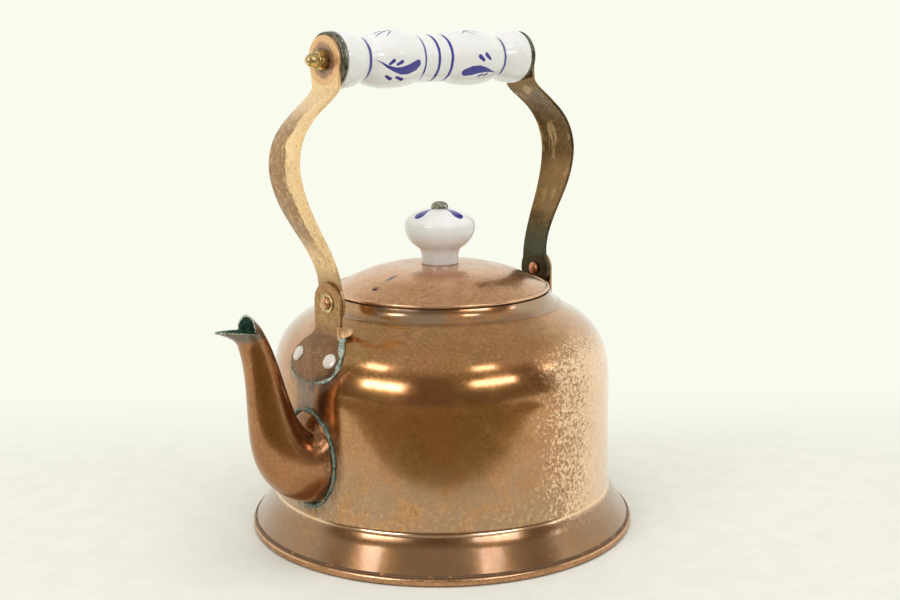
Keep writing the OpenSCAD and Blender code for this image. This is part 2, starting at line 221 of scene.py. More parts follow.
def round_edges(obj, width, edge_material):
    """Bevels a piece's sharp edges by width millimetres, in the rubbed edge material."""
    obj.data.materials.append(edge_material)
    bevel = obj.modifiers.new("round edges", "BEVEL")
    bevel.width = width * MM
    bevel.segments = 2
    bevel.limit_method = "ANGLE"
    bevel.angle_limit = math.radians(40)
    bevel.material = 1


def grid_faces(rows, columns, wrap_rows=False, wrap_columns=False, base=0):
    """Quads joining a grid of vertices, optionally closed either way."""
    last_row = rows if wrap_rows else rows - 1
    last_column = columns if wrap_columns else columns - 1
    faces = []
    for i in range(last_row):
        for j in range(last_column):
            a = base + i * columns + j
            b = base + i * columns + (j + 1) % columns
            c = base + ((i + 1) % rows) * columns + (j + 1) % columns
            d = base + ((i + 1) % rows) * columns + j
            faces.append((a, b, c, d))
    return faces


def lathe(profile, segments, place=lambda p: p, closed=True, shape=None):
    """Turns (radius, height) points about Z, then moves them with place."""
    verts = []
    for r, z in profile:
        for k in range(segments):
            a = 2 * math.pi * k / segments
            rr = r if shape is None else shape(r, z, a)
            verts.append(place((rr * math.cos(a), rr * math.sin(a), z)))
    return verts, grid_faces(len(profile), segments, closed, True)


def together(shapes):
    """Several shapes as one."""
    verts, faces = [], []
    for more, joined in shapes:
        faces += [tuple(k + len(verts) for k in face) for face in joined]
        verts += more
    return verts, faces


def slab(grid, thickness):
    """A sheet of even thickness behind a grid of points, with its edges closed."""
    rows = len(grid)
    columns = len(grid[0])
    front = [Vector(p) for row in grid for p in row]
    back = []
    for i in range(rows):
        for j in range(columns):
            across = Vector(grid[i][min(j + 1, columns - 1)]) - Vector(grid[i][max(j - 1, 0)])
            along = Vector(grid[min(i + 1, rows - 1)][j]) - Vector(grid[max(i - 1, 0)][j])
            normal = across.cross(along)
            normal = normal.normalized() if normal.length > 1e-9 else None
            back.append(normal)
    known = None
    for k, normal in enumerate(back):
        known = normal or known
        back[k] = known
    for k in range(len(back) - 1, -1, -1):
        known = back[k] or known
        back[k] = known
    verts = [tuple(v) for v in front]
    verts += [tuple(v - n * thickness) for v, n in zip(front, back)]
    size = rows * columns
    faces = grid_faces(rows, columns)
    faces += [tuple(reversed(f)) for f in grid_faces(rows, columns, base=size)]
    rim = [i * columns for i in range(rows)]
    rim += [(rows - 1) * columns + j for j in range(1, columns)]
    rim += [i * columns + columns - 1 for i in range(rows - 2, -1, -1)]
    rim += [j for j in range(columns - 2, 0, -1)]
    for a, b in zip(rim, rim[1:] + rim[:1]):
        faces.append((a, b, size + b, size + a))
    return verts, faces


def tube(line, sizes, sides, closed):
    """A lumpy tube along a line of points, with a radius for each point."""
    count = len(line)
    verts = []
    for k in range(count):
        after = Vector(line[(k + 1) % count if closed else min(k + 1, count - 1)])
        before = Vector(line[k - 1 if closed else max(k - 1, 0)])
        along = (after - before).normalized()
        side = along.cross(Vector((0.31, 0.17, 1.0))).normalized()
        up = side.cross(along)
        for j in range(sides):
            a = 2 * math.pi * j / sides
            offset = (side * math.cos(a) + up * math.sin(a)) * sizes[k]
            verts.append(tuple(Vector(line[k]) + offset))
    faces = grid_faces(count, sides, closed, True)
    if not closed:
        faces.append(tuple(range(sides)))
        faces.append(tuple(range((count - 1) * sides, count * sides)))
    return verts, faces


def along_x(side, start):
    """Places a part turned about Z so that its axis lies along X, growing outwards."""
    return lambda p: (side * (start + p[2]), p[1], PIVOT_Z + side * -p[0])


def leaned(p):
    """Leans a point of the upright handle about the hinge line."""
    c, s = math.cos(LEAN), math.sin(LEAN)
    x, y, z = p[0], p[1], p[2] - PIVOT_Z
    return (x, y * c + z * s, PIVOT_Z + z * c - y * s)


def on_grip(side, start):
    """Places a part turned about Z along the grip's axis, growing outwards from start."""
    return lambda p: leaned((side * (start + p[2]), p[1], PIVOT_Z + REACH - side * p[0]))


# ---------------------------------------------------------------- material helper
class Nodes:
    """A node tree, with a short way to add each kind of node."""

    def __init__(self, owner):
        owner.use_nodes = True
        self.tree = owner.node_tree
        self.tree.nodes.clear()

    def add(self, kind):
        return self.tree.nodes.new(kind)

    def join(self, value, socket):
        """Feeds a node's output, a number or a colour into a socket."""
        if isinstance(value, bpy.types.NodeSocket):
            self.tree.links.new(value, socket)
        elif isinstance(value, tuple) and len(socket.default_value) == 4:
            socket.default_value = (*value[:3], 1.0)
        else:
            socket.default_value = value

    def calc(self, operation, a, b=0.0, c=0.0):
        """A math node."""
        node = self.add("ShaderNodeMath")
        node.operation = operation
        for value, socket in zip((a, b, c), node.inputs):
            self.join(value, socket)
        return node.outputs[0]

    def vector(self, operation, a, b=(0.0, 0.0, 0.0), output=0):
        """A vector math node."""
        node = self.add("ShaderNodeVectorMath")
        node.operation = operation
        self.join(a, node.inputs[0])
        self.join(b, node.inputs[1])
        return node.outputs[output]

    def scaled(self, vector, scale):
        """A vector times a number."""
        node = self.add("ShaderNodeVectorMath")
        node.operation = "SCALE"
        self.join(vector, node.inputs[0])
        self.join(scale, node.inputs["Scale"])
        return node.outputs[0]

    def split(self, vector):
        """The three parts of a vector."""
        node = self.add("ShaderNodeSeparateXYZ")
        self.join(vector, node.inputs[0])
        return node.outputs

    def fade(self, value, start, end, low_value=0.0, high_value=1.0):
        """Smooth step: low_value at start, high_value at end."""
        node = self.add("ShaderNodeMapRange")
        node.interpolation_type = "SMOOTHSTEP"
        self.join(value, node.inputs["Value"])
        node.inputs["From Min"].default_value = start
        node.inputs["From Max"].default_value = end
        node.inputs["To Min"].default_value = low_value
        node.inputs["To Max"].default_value = high_value
        return node.outputs[0]

    def mix(self, amount, a, b):
        """Colour a, going to colour b as amount goes to 1."""
        node = self.add("ShaderNodeMix")
        node.data_type = "RGBA"
        self.join(amount, node.inputs[0])
        self.join(a, node.inputs[6])
        self.join(b, node.inputs[7])
        return node.outputs[2]


class Paint(Nodes):
    """One procedural material. Lengths in its textures are millimetres."""

    def __init__(self, name, **constants):
        self.material = bpy.data.materials.new(name)
        super().__init__(self.material)
        self.output = self.add("ShaderNodeOutputMaterial")
        self.shader = self.add("ShaderNodeBsdfPrincipled")
        self.join(self.shader.outputs[0], self.output.inputs["Surface"])
        for key, value in constants.items():
            self.shader.inputs[key.replace("_", " ")].default_value = value
        self.place = self.scaled(self.add("ShaderNodeTexCoord").outputs["Object"], 1 / MM)
        self.x, self.y, self.z = self.split(self.place)
        self.colour = None

    def window(self, value, centre, half, soft):
        """1 within half of centre, falling to 0 over soft."""
        away = self.calc("ABSOLUTE", self.calc("SUBTRACT", value, centre))
        return self.fade(away, half + soft, half)

    def moved(self, stretch, shift):
        """The texture place, stretched and shifted."""
        node = self.add("ShaderNodeMapping")
        self.join(self.place, node.inputs["Vector"])
        node.inputs["Scale"].default_value = stretch
        node.inputs["Location"].default_value = shift
        return node.outputs[0]

    def cloud(self, size, detail, roughness, stretch=(1, 1, 1), shift=0.0):
        """Noise, about 0.5 on average, with blobs of that size."""
        node = self.add("ShaderNodeTexNoise")
        self.join(self.moved(stretch, (shift, shift * 1.7, shift * 0.6)), node.inputs["Vector"])
        node.inputs["Scale"].default_value = 1 / size
        node.inputs["Detail"].default_value = detail
        node.inputs["Roughness"].default_value = roughness
        return node.outputs["Fac"]

    def blobs(self, size, detail, roughness, shift, start, end,
              low_value=0.0, high_value=1.0, stretch=(1, 1, 1)):
        """Noise cut between two levels: low_value at start, high_value at end."""
        noise_value = self.cloud(size, detail, roughness, stretch, shift)
        return self.fade(noise_value, start, end, low_value, high_value)

    def uneven(self, size, detail, shift, smoothest, roughest):
        """Roughness that drifts between two values."""
        return self.blobs(size, detail, 0.6, shift, 0.3, 0.7, smoothest, roughest)

    def spots(self, size, radius, shift=0.0):
        """1 in round spots of that radius, one to each cell of that size."""
        node = self.add("ShaderNodeTexVoronoi")
        self.join(self.moved((1, 1, 1), (shift, shift, shift)), node.inputs["Vector"])
        node.inputs["Scale"].default_value = 1 / size
        return self.fade(node.outputs["Distance"], radius / size, radius * 0.45 / size)

    def times(self, *values):
        result = values[0]
        for value in values[1:]:
            result = self.calc("MULTIPLY", result, value)
        return result

    def most(self, *values):
        result = values[0]
        for value in values[1:]:
            result = self.calc("MAXIMUM", result, value)
        return result

    def lay(self, colour, *masks):
        """Covers the material's colour with another one where all the masks are 1."""
        self.colour = self.mix(self.times(*masks), self.colour, colour)

    def around(self):
        """Angle about Z in degrees: 0 along +X, -90 along -Y."""
        return self.calc("DEGREES", self.calc("ARCTAN2", self.y, self.x))

    def near(self, centre, radii):
        """Distance from centre, in shares of an ellipsoid's three radii."""
        shift = tuple(-c / r for c, r in zip(centre, radii))
        place = self.moved(tuple(1 / r for r in radii), shift)
        return self.vector("LENGTH", place, output="Value")

    def bump(self, height, depth, base=None):
        """Normal of a relief that is depth millimetres deep."""
        node = self.add("ShaderNodeBump")
        node.inputs["Strength"].default_value = 1.0
        node.inputs["Distance"].default_value = depth * MM
        self.join(height, node.inputs["Height"])
        if base is not None:
            self.join(base, node.inputs["Normal"])
        return node.outputs[0]

    def finish(self, roughness, normal=None):
        """Connects colour, roughness and relief, and gives the material."""
        self.join(self.colour, self.shader.inputs["Base Color"])
        self.join(roughness, self.shader.inputs["Roughness"])
        if normal is not None:
            self.join(normal, self.shader.inputs["Normal"])
        return self.material


# ---------------------------------------------------------------- colours, linear
COPPER = (0.51, 0.235, 0.088)
COPPER_RED = (0.53, 0.20, 0.09)
COPPER_OLIVE = (0.43, 0.235, 0.07)
COPPER_PINK = (0.66, 0.36, 0.22)
COPPER_BRIGHT = (0.95, 0.65, 0.42)
COPPER_LID = (0.69, 0.365, 0.19)
UMBER = (0.15, 0.075, 0.035)
SOOT = (0.045, 0.035, 0.028)
FLECK = (0.68, 0.37, 0.17)
LILAC = (0.38, 0.255, 0.165)
VERDIGRIS = (0.20, 0.29, 0.24)
VERDIGRIS_PALE = (0.52, 0.58, 0.49)
VERDIGRIS_DARK = (0.05, 0.10, 0.085)
BRASS = (0.78, 0.62, 0.30)
BRASS_DARK = (0.42, 0.32, 0.15)
IRON = (0.26, 0.26, 0.21)
IRON_DARK = (0.085, 0.09, 0.07)
SOLDER = (0.40, 0.40, 0.35)
WHITE_METAL = (0.82, 0.77, 0.70)
GLAZE = (0.88, 0.90, 0.91)
COBALT = (0.018, 0.016, 0.29)
COBALT_THIN = (0.05, 0.055, 0.40)


# ---------------------------------------------------------------- materials
def patina(paint, tone, deep, pale, shift=0.0):
    """Mottled copper: two tones, pale flecks and hair lines, dark grime and pin specks."""
    paint.colour = paint.mix(paint.blobs(34, 4, 0.6, shift, 0.3, 0.7), tone, deep)
    paint.lay(pale, paint.blobs(9, 6, 0.75, shift + 40, 0.46, 0.62, 0.0, 0.4))
    paint.lay(pale, paint.blobs(1.6, 5, 0.75, shift + 90, 0.52, 0.62, 0.0, 0.7))
    paint.lay(UMBER, paint.blobs(1.3, 4, 0.75, shift + 140, 0.54, 0.66, 0.0, 0.55))
    hairs = paint.cloud(2.4, 3, 0.5, (1, 1, 3.2), shift + 170)
    paint.lay(pale, paint.fade(hairs, 0.485, 0.5), paint.fade(hairs, 0.515, 0.5, 0.0, 0.4))
    pin_zone = paint.blobs(16, 2, 0.5, shift + 200, 0.5, 0.62)
    paint.lay(UMBER, paint.spots(3.6, 0.42, shift + 3), pin_zone)


def hammered(paint, depth, size=14.0, fine=0.012):
    """Gentle waves of hand-worked sheet with fine grain on top."""
    waves = paint.bump(paint.cloud(size, 2, 0.5, shift=11), depth)
    return paint.bump(paint.cloud(0.9, 4, 0.6, shift=23), fine, waves)


SPOUT_ROOT = (-86, 0, 50.5)
VENT_X = -46.6
VENT_Y = -3.3


def copper_body():
    paint = Paint("copper body", Metallic=0.96, Coat_Weight=0.8, Coat_Roughness=0.08)
    patina(paint, COPPER, COPPER_OLIVE, FLECK)
    paint.lay(COPPER_RED, paint.blobs(40, 3, 0.5, 310, 0.45, 0.75, 0.0, 0.4))

    # lilac bloom low on the wall, on the foot and on the neck
    zone = paint.most(
        paint.fade(paint.z, 24.0, 19.0, 0.0, 0.8),
        paint.fade(paint.z, 70.0, 30.0, 0.0, 0.7),
        paint.fade(paint.z, CREASE[1] - 1.0, CREASE[1] + 1.5),
    )
    bloom = paint.blobs(12, 5, 0.65, 350, 0.36, 0.60)
    paint.lay(LILAC, zone, bloom)
    gold = paint.blobs(2.4, 5, 0.75, 370, 0.52, 0.60)
    low_wall = paint.times(paint.fade(paint.z, 46.0, 24.0), paint.cloud(18, 3, 0.6, shift=380))
    paint.lay((0.80, 0.50, 0.24), gold, low_wall, 0.9)

    # bright worn zone on the side away from the spout, with a ragged speckled edge
    drift = paint.calc("MULTIPLY", paint.cloud(14, 6, 0.75, shift=7), 30.0)
    edge = paint.calc("ADD", paint.around(), drift)
    level = paint.times(paint.fade(paint.z, 10.0, 24.0), paint.fade(paint.z, 112.0, 92.0))
    core = paint.times(paint.fade(edge, -72.0, -58.0), paint.fade(edge, 10.0, -12.0), level)
    skirt = paint.times(paint.fade(edge, -94.0, -64.0), paint.fade(edge, 34.0, -10.0), level)
    grain = paint.cloud(1.7, 5, 0.75, shift=60)
    cover = paint.calc("ADD", grain, paint.times(skirt, 0.16))
    worn = paint.times(paint.fade(cover, 0.60, 0.635), paint.fade(skirt, 0.05, 0.3))
    paint.lay(COPPER_BRIGHT, paint.most(worn, paint.times(core, 0.75)))
    rust = paint.blobs(1.5, 5, 0.75, 75, 0.54, 0.58)
    specks = paint.times(rust, paint.fade(skirt, 0.15, 0.6), paint.fade(core, 1.25, 0.5))
    paint.lay((0.26, 0.13, 0.06), specks, 0.8)

    # browner foot, painted shade in the neck crease, and a painted highlight in the corner above
    # the foot
    foot = paint.fade(paint.z, 21.0, 18.0)
    paint.lay((0.27, 0.14, 0.06), foot, 0.75)
    # painted shade: an umber band along the neck crease
    crease = paint.window(paint.z, CREASE[1], 0.35, 0.9)
    paint.lay(UMBER, crease, 0.35)
    # painted highlight: a bright copper line in the concave corner above the foot, for the light
    # its fillet catches
    rubbed = paint.window(paint.z, 20.6, 0.25, 0.5)
    paint.lay(COPPER_BRIGHT, rubbed, 0.75)

    # stains under the bracket plates and round the spout's root, and painted shade on the wall
    # behind the spout
    drips = paint.cloud(4.0, 4, 0.7, (1, 1, 0.35), 500)
    plates = paint.most(*[
        paint.fade(paint.near((side * 84, 0, 95.5), (16, 20, 12)), 1.2, 0.8)
        for side in (-1, 1)
    ])
    root = paint.fade(paint.near(SPOUT_ROOT, (14, 22.5, 28.5)), 1.12, 0.92)
    # painted shade: a darker patch on the wall behind the spout, just below the front plate, broken
    # up by the drip noise
    behind_spout = paint.fade(paint.near((-86, -2, 84), (12, 13, 17)), 1.2, 0.6)
    dirty = paint.fade(drips, 0.36, 0.62)
    spout_shade = paint.times(behind_spout, paint.fade(drips, 0.30, 0.52))
    paint.lay((0.20, 0.135, 0.115), spout_shade, 0.8)
    paint.lay((0.13, 0.10, 0.09), plates, dirty, 0.85)
    paint.lay(UMBER, root, dirty, 0.75)
    green = paint.blobs(3.2, 4, 0.6, 540, 0.54, 0.66, stretch=(1, 1, 0.5))
    paint.lay(VERDIGRIS, paint.most(plates, root), green, 0.7)

    rough = paint.uneven(24, 5, 610, 0.15, 0.21)
    duller = ((specks, 0.2), (foot, 0.05), (core, 0.08), (paint.most(plates, root), 0.2))
    for zone, amount in duller:
        rough = paint.calc("ADD", rough, paint.times(zone, amount))
    return paint.finish(rough, hammered(paint, 0.04, 24.0, 0.008))


def copper_base():
    paint = Paint("copper base", Metallic=1.0)
    patina(paint, (0.56, 0.29, 0.14), (0.44, 0.24, 0.11), COPPER_PINK, 55)
    top = paint.window(paint.z, SEAM_Z - 0.9, 0.15, 0.3)
    paint.lay(COPPER_BRIGHT, top, 0.5)
    lip = paint.fade(paint.z, SEAM_Z - 0.6, SEAM_Z - 0.2)
    paint.lay(UMBER, lip, 0.8)
    # painted shade: darker along the underside of the fold, towards the floor
    under = paint.fade(paint.z, 1.2, 0.2)
    paint.lay(UMBER, under, 0.6)
    return paint.finish(paint.uneven(6, 4, 70, 0.2, 0.4), hammered(paint, 0.05, 8.0))


def copper_spout():
    paint = Paint("copper spout", Metallic=1.0, Coat_Weight=0.4, Coat_Roughness=0.1)
    patina(paint, (0.42, 0.185, 0.072), (0.36, 0.16, 0.062), (0.52, 0.27, 0.12), 130)

    # dark tarnish and green salts just below the mouth
    height = paint.calc("ADD", paint.z, paint.calc("MULTIPLY", paint.x, -0.16))
    height = paint.calc("ADD", height, paint.times(paint.cloud(4, 3, 0.6, shift=33), 4.0))
    band = paint.fade(height, 134.0, 138.0)
    paint.lay((0.20, 0.15, 0.13), band, 0.9)
    salts = paint.blobs(1.8, 4, 0.7, 71, 0.5, 0.62)
    paint.lay(VERDIGRIS, paint.fade(height, 131.0, 139.0), salts, 0.6)
    root = paint.fade(paint.near(SPOUT_ROOT, (7, 20, 26)), 1.35, 0.95)
    dirty = paint.blobs(2.4, 4, 0.7, 81, 0.42, 0.6)
    paint.lay(UMBER, root, dirty, 0.8)
    return paint.finish(paint.uneven(18, 4, 160, 0.2, 0.28), hammered(paint, 0.05, 16.0))


def verdigris():
    """Crusty green copper salts over dark tarnish."""
    paint = Paint("verdigris", Metallic=0.0)
    mottle = paint.blobs(1.6, 5, 0.7, 0, 0.34, 0.50)
    paint.colour = paint.mix(mottle, VERDIGRIS_DARK, VERDIGRIS)
    paint.lay(VERDIGRIS_PALE, paint.blobs(2.0, 4, 0.7, 20, 0.44, 0.58))
    relief = paint.bump(paint.cloud(0.6, 5, 0.7, shift=9), 0.12)
    return paint.finish(paint.uneven(1.2, 3, 30, 0.45, 0.8), relief)


def spout_lining():
    """Green wet-looking inside of the spout, with pale bare spots."""
    paint = Paint("spout lining", Metallic=0.25)
    mottle = paint.blobs(3.0, 5, 0.7, 12, 0.38, 0.62)
    paint.colour = paint.mix(mottle, (0.035, 0.09, 0.06), (0.13, 0.30, 0.20))
    paint.lay((0.55, 0.62, 0.55), paint.blobs(0.9, 4, 0.7, 20, 0.60, 0.66))
    relief = paint.bump(paint.cloud(1.2, 4, 0.7, shift=9), 0.2)
    return paint.finish(paint.uneven(2.0, 3, 30, 0.2, 0.5), relief)


def lip_edge():
    paint = Paint("lip edge", Metallic=0.8)
    worn = paint.blobs(1.2, 4, 0.7, 5, 0.44, 0.60)
    paint.colour = paint.mix(worn, (0.80, 0.80, 0.72), (0.12, 0.16, 0.12))
    relief = paint.bump(paint.cloud(0.7, 3, 0.6), 0.05)
    return paint.finish(paint.uneven(2, 3, 8, 0.25, 0.45), relief)


def solder(name, base, shift, green_from):
    """Dull lumpy solder with green and brown in its hollows."""
    paint = Paint(name, Metallic=0.55)
    green = paint.blobs(2.6, 5, 0.7, shift, green_from - 0.1, green_from + 0.1)
    paint.colour = paint.mix(green, base, VERDIGRIS_DARK)
    paint.lay(VERDIGRIS, paint.blobs(1.5, 4, 0.7, shift + 31, green_from, green_from + 0.1))
    paint.lay(COPPER, paint.blobs(5.0, 3, 0.7, shift + 61, 0.56, 0.66))
    relief = paint.bump(paint.cloud(0.8, 4, 0.7, shift=shift), 0.12)
    return paint.finish(paint.uneven(2, 4, shift + 8, 0.4, 0.7), relief)


def copper_bracket():
    paint = Paint("copper bracket", Metallic=1.0)
    patina(paint, (0.30, 0.155, 0.085), (0.24, 0.13, 0.07), (0.42, 0.25, 0.14), 230)
    tab = paint.fade(paint.z, 108.0, 118.0)
    mottle = paint.blobs(1.8, 5, 0.75, 240, 0.42, 0.60)
    paint.lay((0.42, 0.225, 0.10), tab, 0.8)
    paint.lay((0.64, 0.39, 0.18), tab, mottle, 0.6)
    rim = paint.fade(paint.near((0, 0, 99.8), (300, 17.6, 10.9)), 0.80, 1.0)
    low_rim = paint.times(rim, paint.fade(paint.z, 106.0, 101.0))
    dirty = paint.blobs(2.0, 4, 0.7, 250, 0.42, 0.58)
    paint.lay(VERDIGRIS_DARK, low_rim, dirty, 0.7)
    return paint.finish(paint.uneven(4, 4, 260, 0.26, 0.42), hammered(paint, 0.08, 7.0))


def ear_highlight_copper():
    """Bright gold ear of a bracket: a painted highlight, for the light its face catches."""
    paint = Paint("ear highlight copper", Metallic=0.85)
    patina(paint, (0.92, 0.62, 0.33), (0.72, 0.42, 0.20), (1.0, 0.82, 0.58), 770)
    return paint.finish(paint.uneven(2, 3, 780, 0.25, 0.4), hammered(paint, 0.08, 3.0))


def edge_copper():
    """Rubbed bright edges with dirt left in places."""
    paint = Paint("edge copper", Metallic=1.0)
    dirt = paint.blobs(3.0, 4, 0.7, 810, 0.44, 0.60)
    paint.colour = paint.mix(dirt, (0.86, 0.68, 0.48), (0.26, 0.16, 0.09))
    return paint.finish(paint.uneven(2, 3, 820, 0.25, 0.45), hammered(paint, 0.03, 3.0))


def copper_rivet():
    paint = Paint("copper rivet", Metallic=1.0)
    patina(paint, (0.72, 0.42, 0.26), COPPER_RED, COPPER_BRIGHT, 330)
    return paint.finish(paint.uneven(3, 4, 350, 0.2, 0.36), hammered(paint, 0.08, 2.5))


def rivet_alloy():
    """Whitish worn rivet heads with brown pits."""
    paint = Paint("rivet alloy", Metallic=0.6)
    paint.colour = WHITE_METAL
    paint.lay(COPPER_PINK, paint.blobs(2.2, 4, 0.6, 0, 0.55, 0.8, 0.0, 0.5))
    paint.lay(UMBER, paint.blobs(0.8, 4, 0.7, 14, 0.63, 0.70))
    return paint.finish(paint.uneven(1.5, 4, 50, 0.3, 0.5), hammered(paint, 0.12, 2.0, 0.03))


def copper_lid():
    paint = Paint("copper lid", Metallic=0.87, Coat_Weight=0.3, Coat_Roughness=0.08)
    patina(paint, COPPER_LID, (0.56, 0.29, 0.145), (0.78, 0.49, 0.30), 430)
    rust = paint.blobs(2.2, 5, 0.75, 505, 0.54, 0.62)
    rusty_zone = paint.blobs(20, 3, 0.6, 515, 0.44, 0.56)
    paint.lay((0.42, 0.17, 0.06), rust, rusty_zone, 0.75)
    paint.lay(UMBER, paint.spots(4.2, 0.5, 8), paint.blobs(12, 2, 0.5, 490, 0.42, 0.52), 0.85)
    collar = paint.fade(paint.near((0, 0, LID_TOP_Z), (1, 1, 1000)), 13.5, 10.5)
    paint.lay((0.66, 0.27, 0.10), collar, 0.7)
    rim = paint.fade(paint.z, LID_RIM_Z + 2.0, LID_RIM_Z + 1.4)
    paint.lay(COPPER_BRIGHT, rim, 0.5)
    smudge = paint.fade(paint.near((-36, -3.1, 133.5), (4.5, 1.6, 3.0)), 1.3, 0.5)
    vent = paint.fade(paint.near((VENT_X, VENT_Y, 131.0), (2.6, 3.4, 3.0)), 1.3, 0.6)
    paint.lay(SOOT, paint.most(smudge, vent), 0.8)
    # painted shade: the lowest edge of the rim darkened, for the shadow line under the lid
    under = paint.fade(paint.z, LID_RIM_Z + 0.35, LID_RIM_Z + 0.05)
    paint.lay(UMBER, under, 0.7)
    return paint.finish(paint.uneven(8, 5, 460, 0.17, 0.3), hammered(paint, 0.08, 16.0, 0.008))


def copper_inner():
    """Dark heat-stained copper for the parts under the lid."""
    paint = Paint("copper inner", Metallic=1.0)
    patina(paint, (0.36, 0.20, 0.10), (0.22, 0.13, 0.07), (0.48, 0.30, 0.18), 530)
    return paint.finish(paint.uneven(8, 4, 560, 0.35, 0.55), hammered(paint, 0.05))


def front_strap_copper():
    paint = Paint("front strap copper", Metallic=0.55)
    # painted reflection: a bright tan tone for the light band down the right half, and further on
    # the left half darkened and mottled for the dark room it reflects
    patina(paint, (0.99, 0.70, 0.36), (0.93, 0.60, 0.29), (1.0, 0.80, 0.48), 630)
    drift = paint.calc("MULTIPLY", paint.cloud(6, 5, 0.7, (1, 1, 0.4), 650), 9.0)
    across = paint.calc("ADD", paint.y, paint.calc("MULTIPLY_ADD", paint.z, -0.066, drift))
    left = paint.fade(across, -7.6, -6.2)
    dark_reflection_and_tarnish = paint.times(
        left, paint.fade(paint.z, 146.0, 160.0), paint.fade(paint.z, 226.0, 208.0),
        paint.blobs(2.6, 5, 0.75, 640, 0.34, 0.54, 0.5, 1.0, stretch=(1, 1, 0.6)),
    )
    paint.lay((0.29, 0.155, 0.07), dark_reflection_and_tarnish, 0.9)
    streaks = paint.times(
        paint.fade(paint.z, 168.0, 152.0),
        paint.blobs(3.2, 5, 0.7, 680, 0.46, 0.58, stretch=(1, 1, 0.3)),
    )
    paint.lay((0.50, 0.31, 0.16), streaks, 0.6)
    nut = paint.near((-66, GRIP_Y, GRIP_Z), (200, 1, 1))
    smear = paint.calc("ADD", nut, paint.calc("MULTIPLY", paint.cloud(3, 5, 0.7, shift=690), 6.0))
    disc = paint.fade(nut, 12.6, 11.0)
    paint.lay((0.80, 0.42, 0.20), disc, 0.6)
    stain = paint.fade(smear, 12.4, 10.4)
    paint.lay((0.33, 0.20, 0.14), stain, 0.85)
    ring = paint.fade(smear, 9.6, 8.4)
    paint.lay((0.13, 0.075, 0.05), ring, 0.7)
    foot = paint.fade(paint.z, 148.0, 130.0)
    paint.lay((0.36, 0.205, 0.085), foot, 0.9)
    return paint.finish(paint.uneven(5, 4, 660, 0.16, 0.3), hammered(paint, 0.10, 10.0))


def rear_strap_copper():
    """Dark strap: brown and olive, nearly black-green at the hinge."""
    paint = Paint("rear strap copper", Metallic=1.0)
    patina(paint, (0.125, 0.067, 0.026), (0.09, 0.056, 0.022), (0.27, 0.165, 0.07), 730)
    streaks = paint.times(
        paint.blobs(7, 4, 0.65, 745, 0.54, 0.62, stretch=(1, 1, 0.25)),
        paint.fade(paint.z, 150.0, 165.0),
    )
    paint.lay((0.52, 0.34, 0.17), streaks, 0.7)
    low = paint.times(paint.fade(paint.z, 190.0, 178.0), paint.fade(paint.z, 152.0, 158.0))
    paint.lay((0.34, 0.195, 0.085), low, 0.6)
    foot = paint.fade(paint.z, 156.0, 138.0)
    paint.lay((0.07, 0.075, 0.05), foot, 0.85)
    top = paint.fade(paint.z, 216.0, 232.0)
    paint.lay((0.46, 0.31, 0.16), top, 0.5)
    return paint.finish(paint.uneven(6, 4, 760, 0.2, 0.34), hammered(paint, 0.10, 10.0))


def brass(name, shift):
    paint = Paint(name, Metallic=1.0)
    dark_reflection_and_tarnish = paint.blobs(2.4, 4, 0.6, shift, 0.42, 0.62)
    paint.colour = paint.mix(dark_reflection_and_tarnish, BRASS, BRASS_DARK)
    spot = paint.blobs(0.7, 3, 0.6, shift + 17, 0.58, 0.70)
    paint.lay(UMBER, spot)
    return paint.finish(paint.uneven(1.8, 4, shift + 40, 0.2, 0.4), hammered(paint, 0.03, 2.0))


def dark_nickel():
    """Grey-green ferrules, mottled, with rust spots."""
    paint = Paint("dark nickel", Metallic=0.9)
    paint.colour = paint.mix(paint.blobs(4, 4, 0.6, 0, 0.4, 0.6), IRON, IRON_DARK)
    rust = paint.blobs(1.4, 4, 0.7, 30, 0.56, 0.66)
    paint.lay(UMBER, rust, 0.6)
    return paint.finish(paint.uneven(3, 4, 60, 0.3, 0.5), hammered(paint, 0.04, 3.0))


def screw_steel():
    paint = Paint("screw steel", Metallic=0.8)
    mottle = paint.blobs(2, 4, 0.6, 4, 0.4, 0.6)
    paint.colour = paint.mix(mottle, (0.46, 0.46, 0.38), (0.20, 0.21, 0.15))
    rust = paint.blobs(0.9, 4, 0.7, 33, 0.56, 0.68)
    paint.lay(UMBER, rust, 0.5)
    return paint.finish(paint.uneven(1.5, 4, 63, 0.25, 0.45), hammered(paint, 0.04, 1.5))


def vector_of(paint, x, y):
    node = paint.add("ShaderNodeCombineXYZ")
    paint.join(x, node.inputs[0])
    paint.join(y, node.inputs[1])
    return node.outputs[0]


def stroke(paint, spot, start, end):
    """Distance in millimetres from spot to a brush stroke between (x, y, half width) points."""
    line = (end[0] - start[0], end[1] - start[1], 0.0)
    length_squared = line[0] ** 2 + line[1] ** 2
    reach = paint.vector("SUBTRACT", spot, (start[0], start[1], 0.0))
    share = paint.calc("DIVIDE", paint.vector("DOT_PRODUCT", reach, line, "Value"), length_squared)
    share = paint.calc("MINIMUM", paint.calc("MAXIMUM", share, 0.0), 1.0)
    gap = paint.vector("DISTANCE", reach, paint.scaled(line, share), "Value")
    width = paint.calc("MULTIPLY_ADD", share, end[2] - start[2], start[2])
    return paint.calc("SUBTRACT", gap, width)


def glazed(paint, ink, thin):
    """White glaze with cobalt where ink is 1, washed out where thin is 1."""
    tint = paint.blobs(24, 2, 0.5, 5, 0.4, 0.6)
    white = paint.mix(tint, GLAZE, (0.85, 0.87, 0.88))
    wash = paint.most(thin, paint.blobs(2.2, 3, 0.6, 15, 0.58, 0.78, 0.0, 0.5))
    paint.colour = paint.mix(ink, white, paint.mix(wash, COBALT, COBALT_THIN))
    relief = paint.bump(paint.cloud(6, 3, 0.5, shift=45), 0.03)
    return paint.finish(paint.uneven(8, 3, 35, 0.08, 0.18), relief)


def union_ink(paint, distances):
    """1 inside any of the painted marks, given the distance to each."""
    nearest, soft = distances[0], 0.22
    for distance in distances[1:]:
        nearest = paint.calc("MINIMUM", nearest, distance)
    return paint.fade(nearest, soft, -soft)


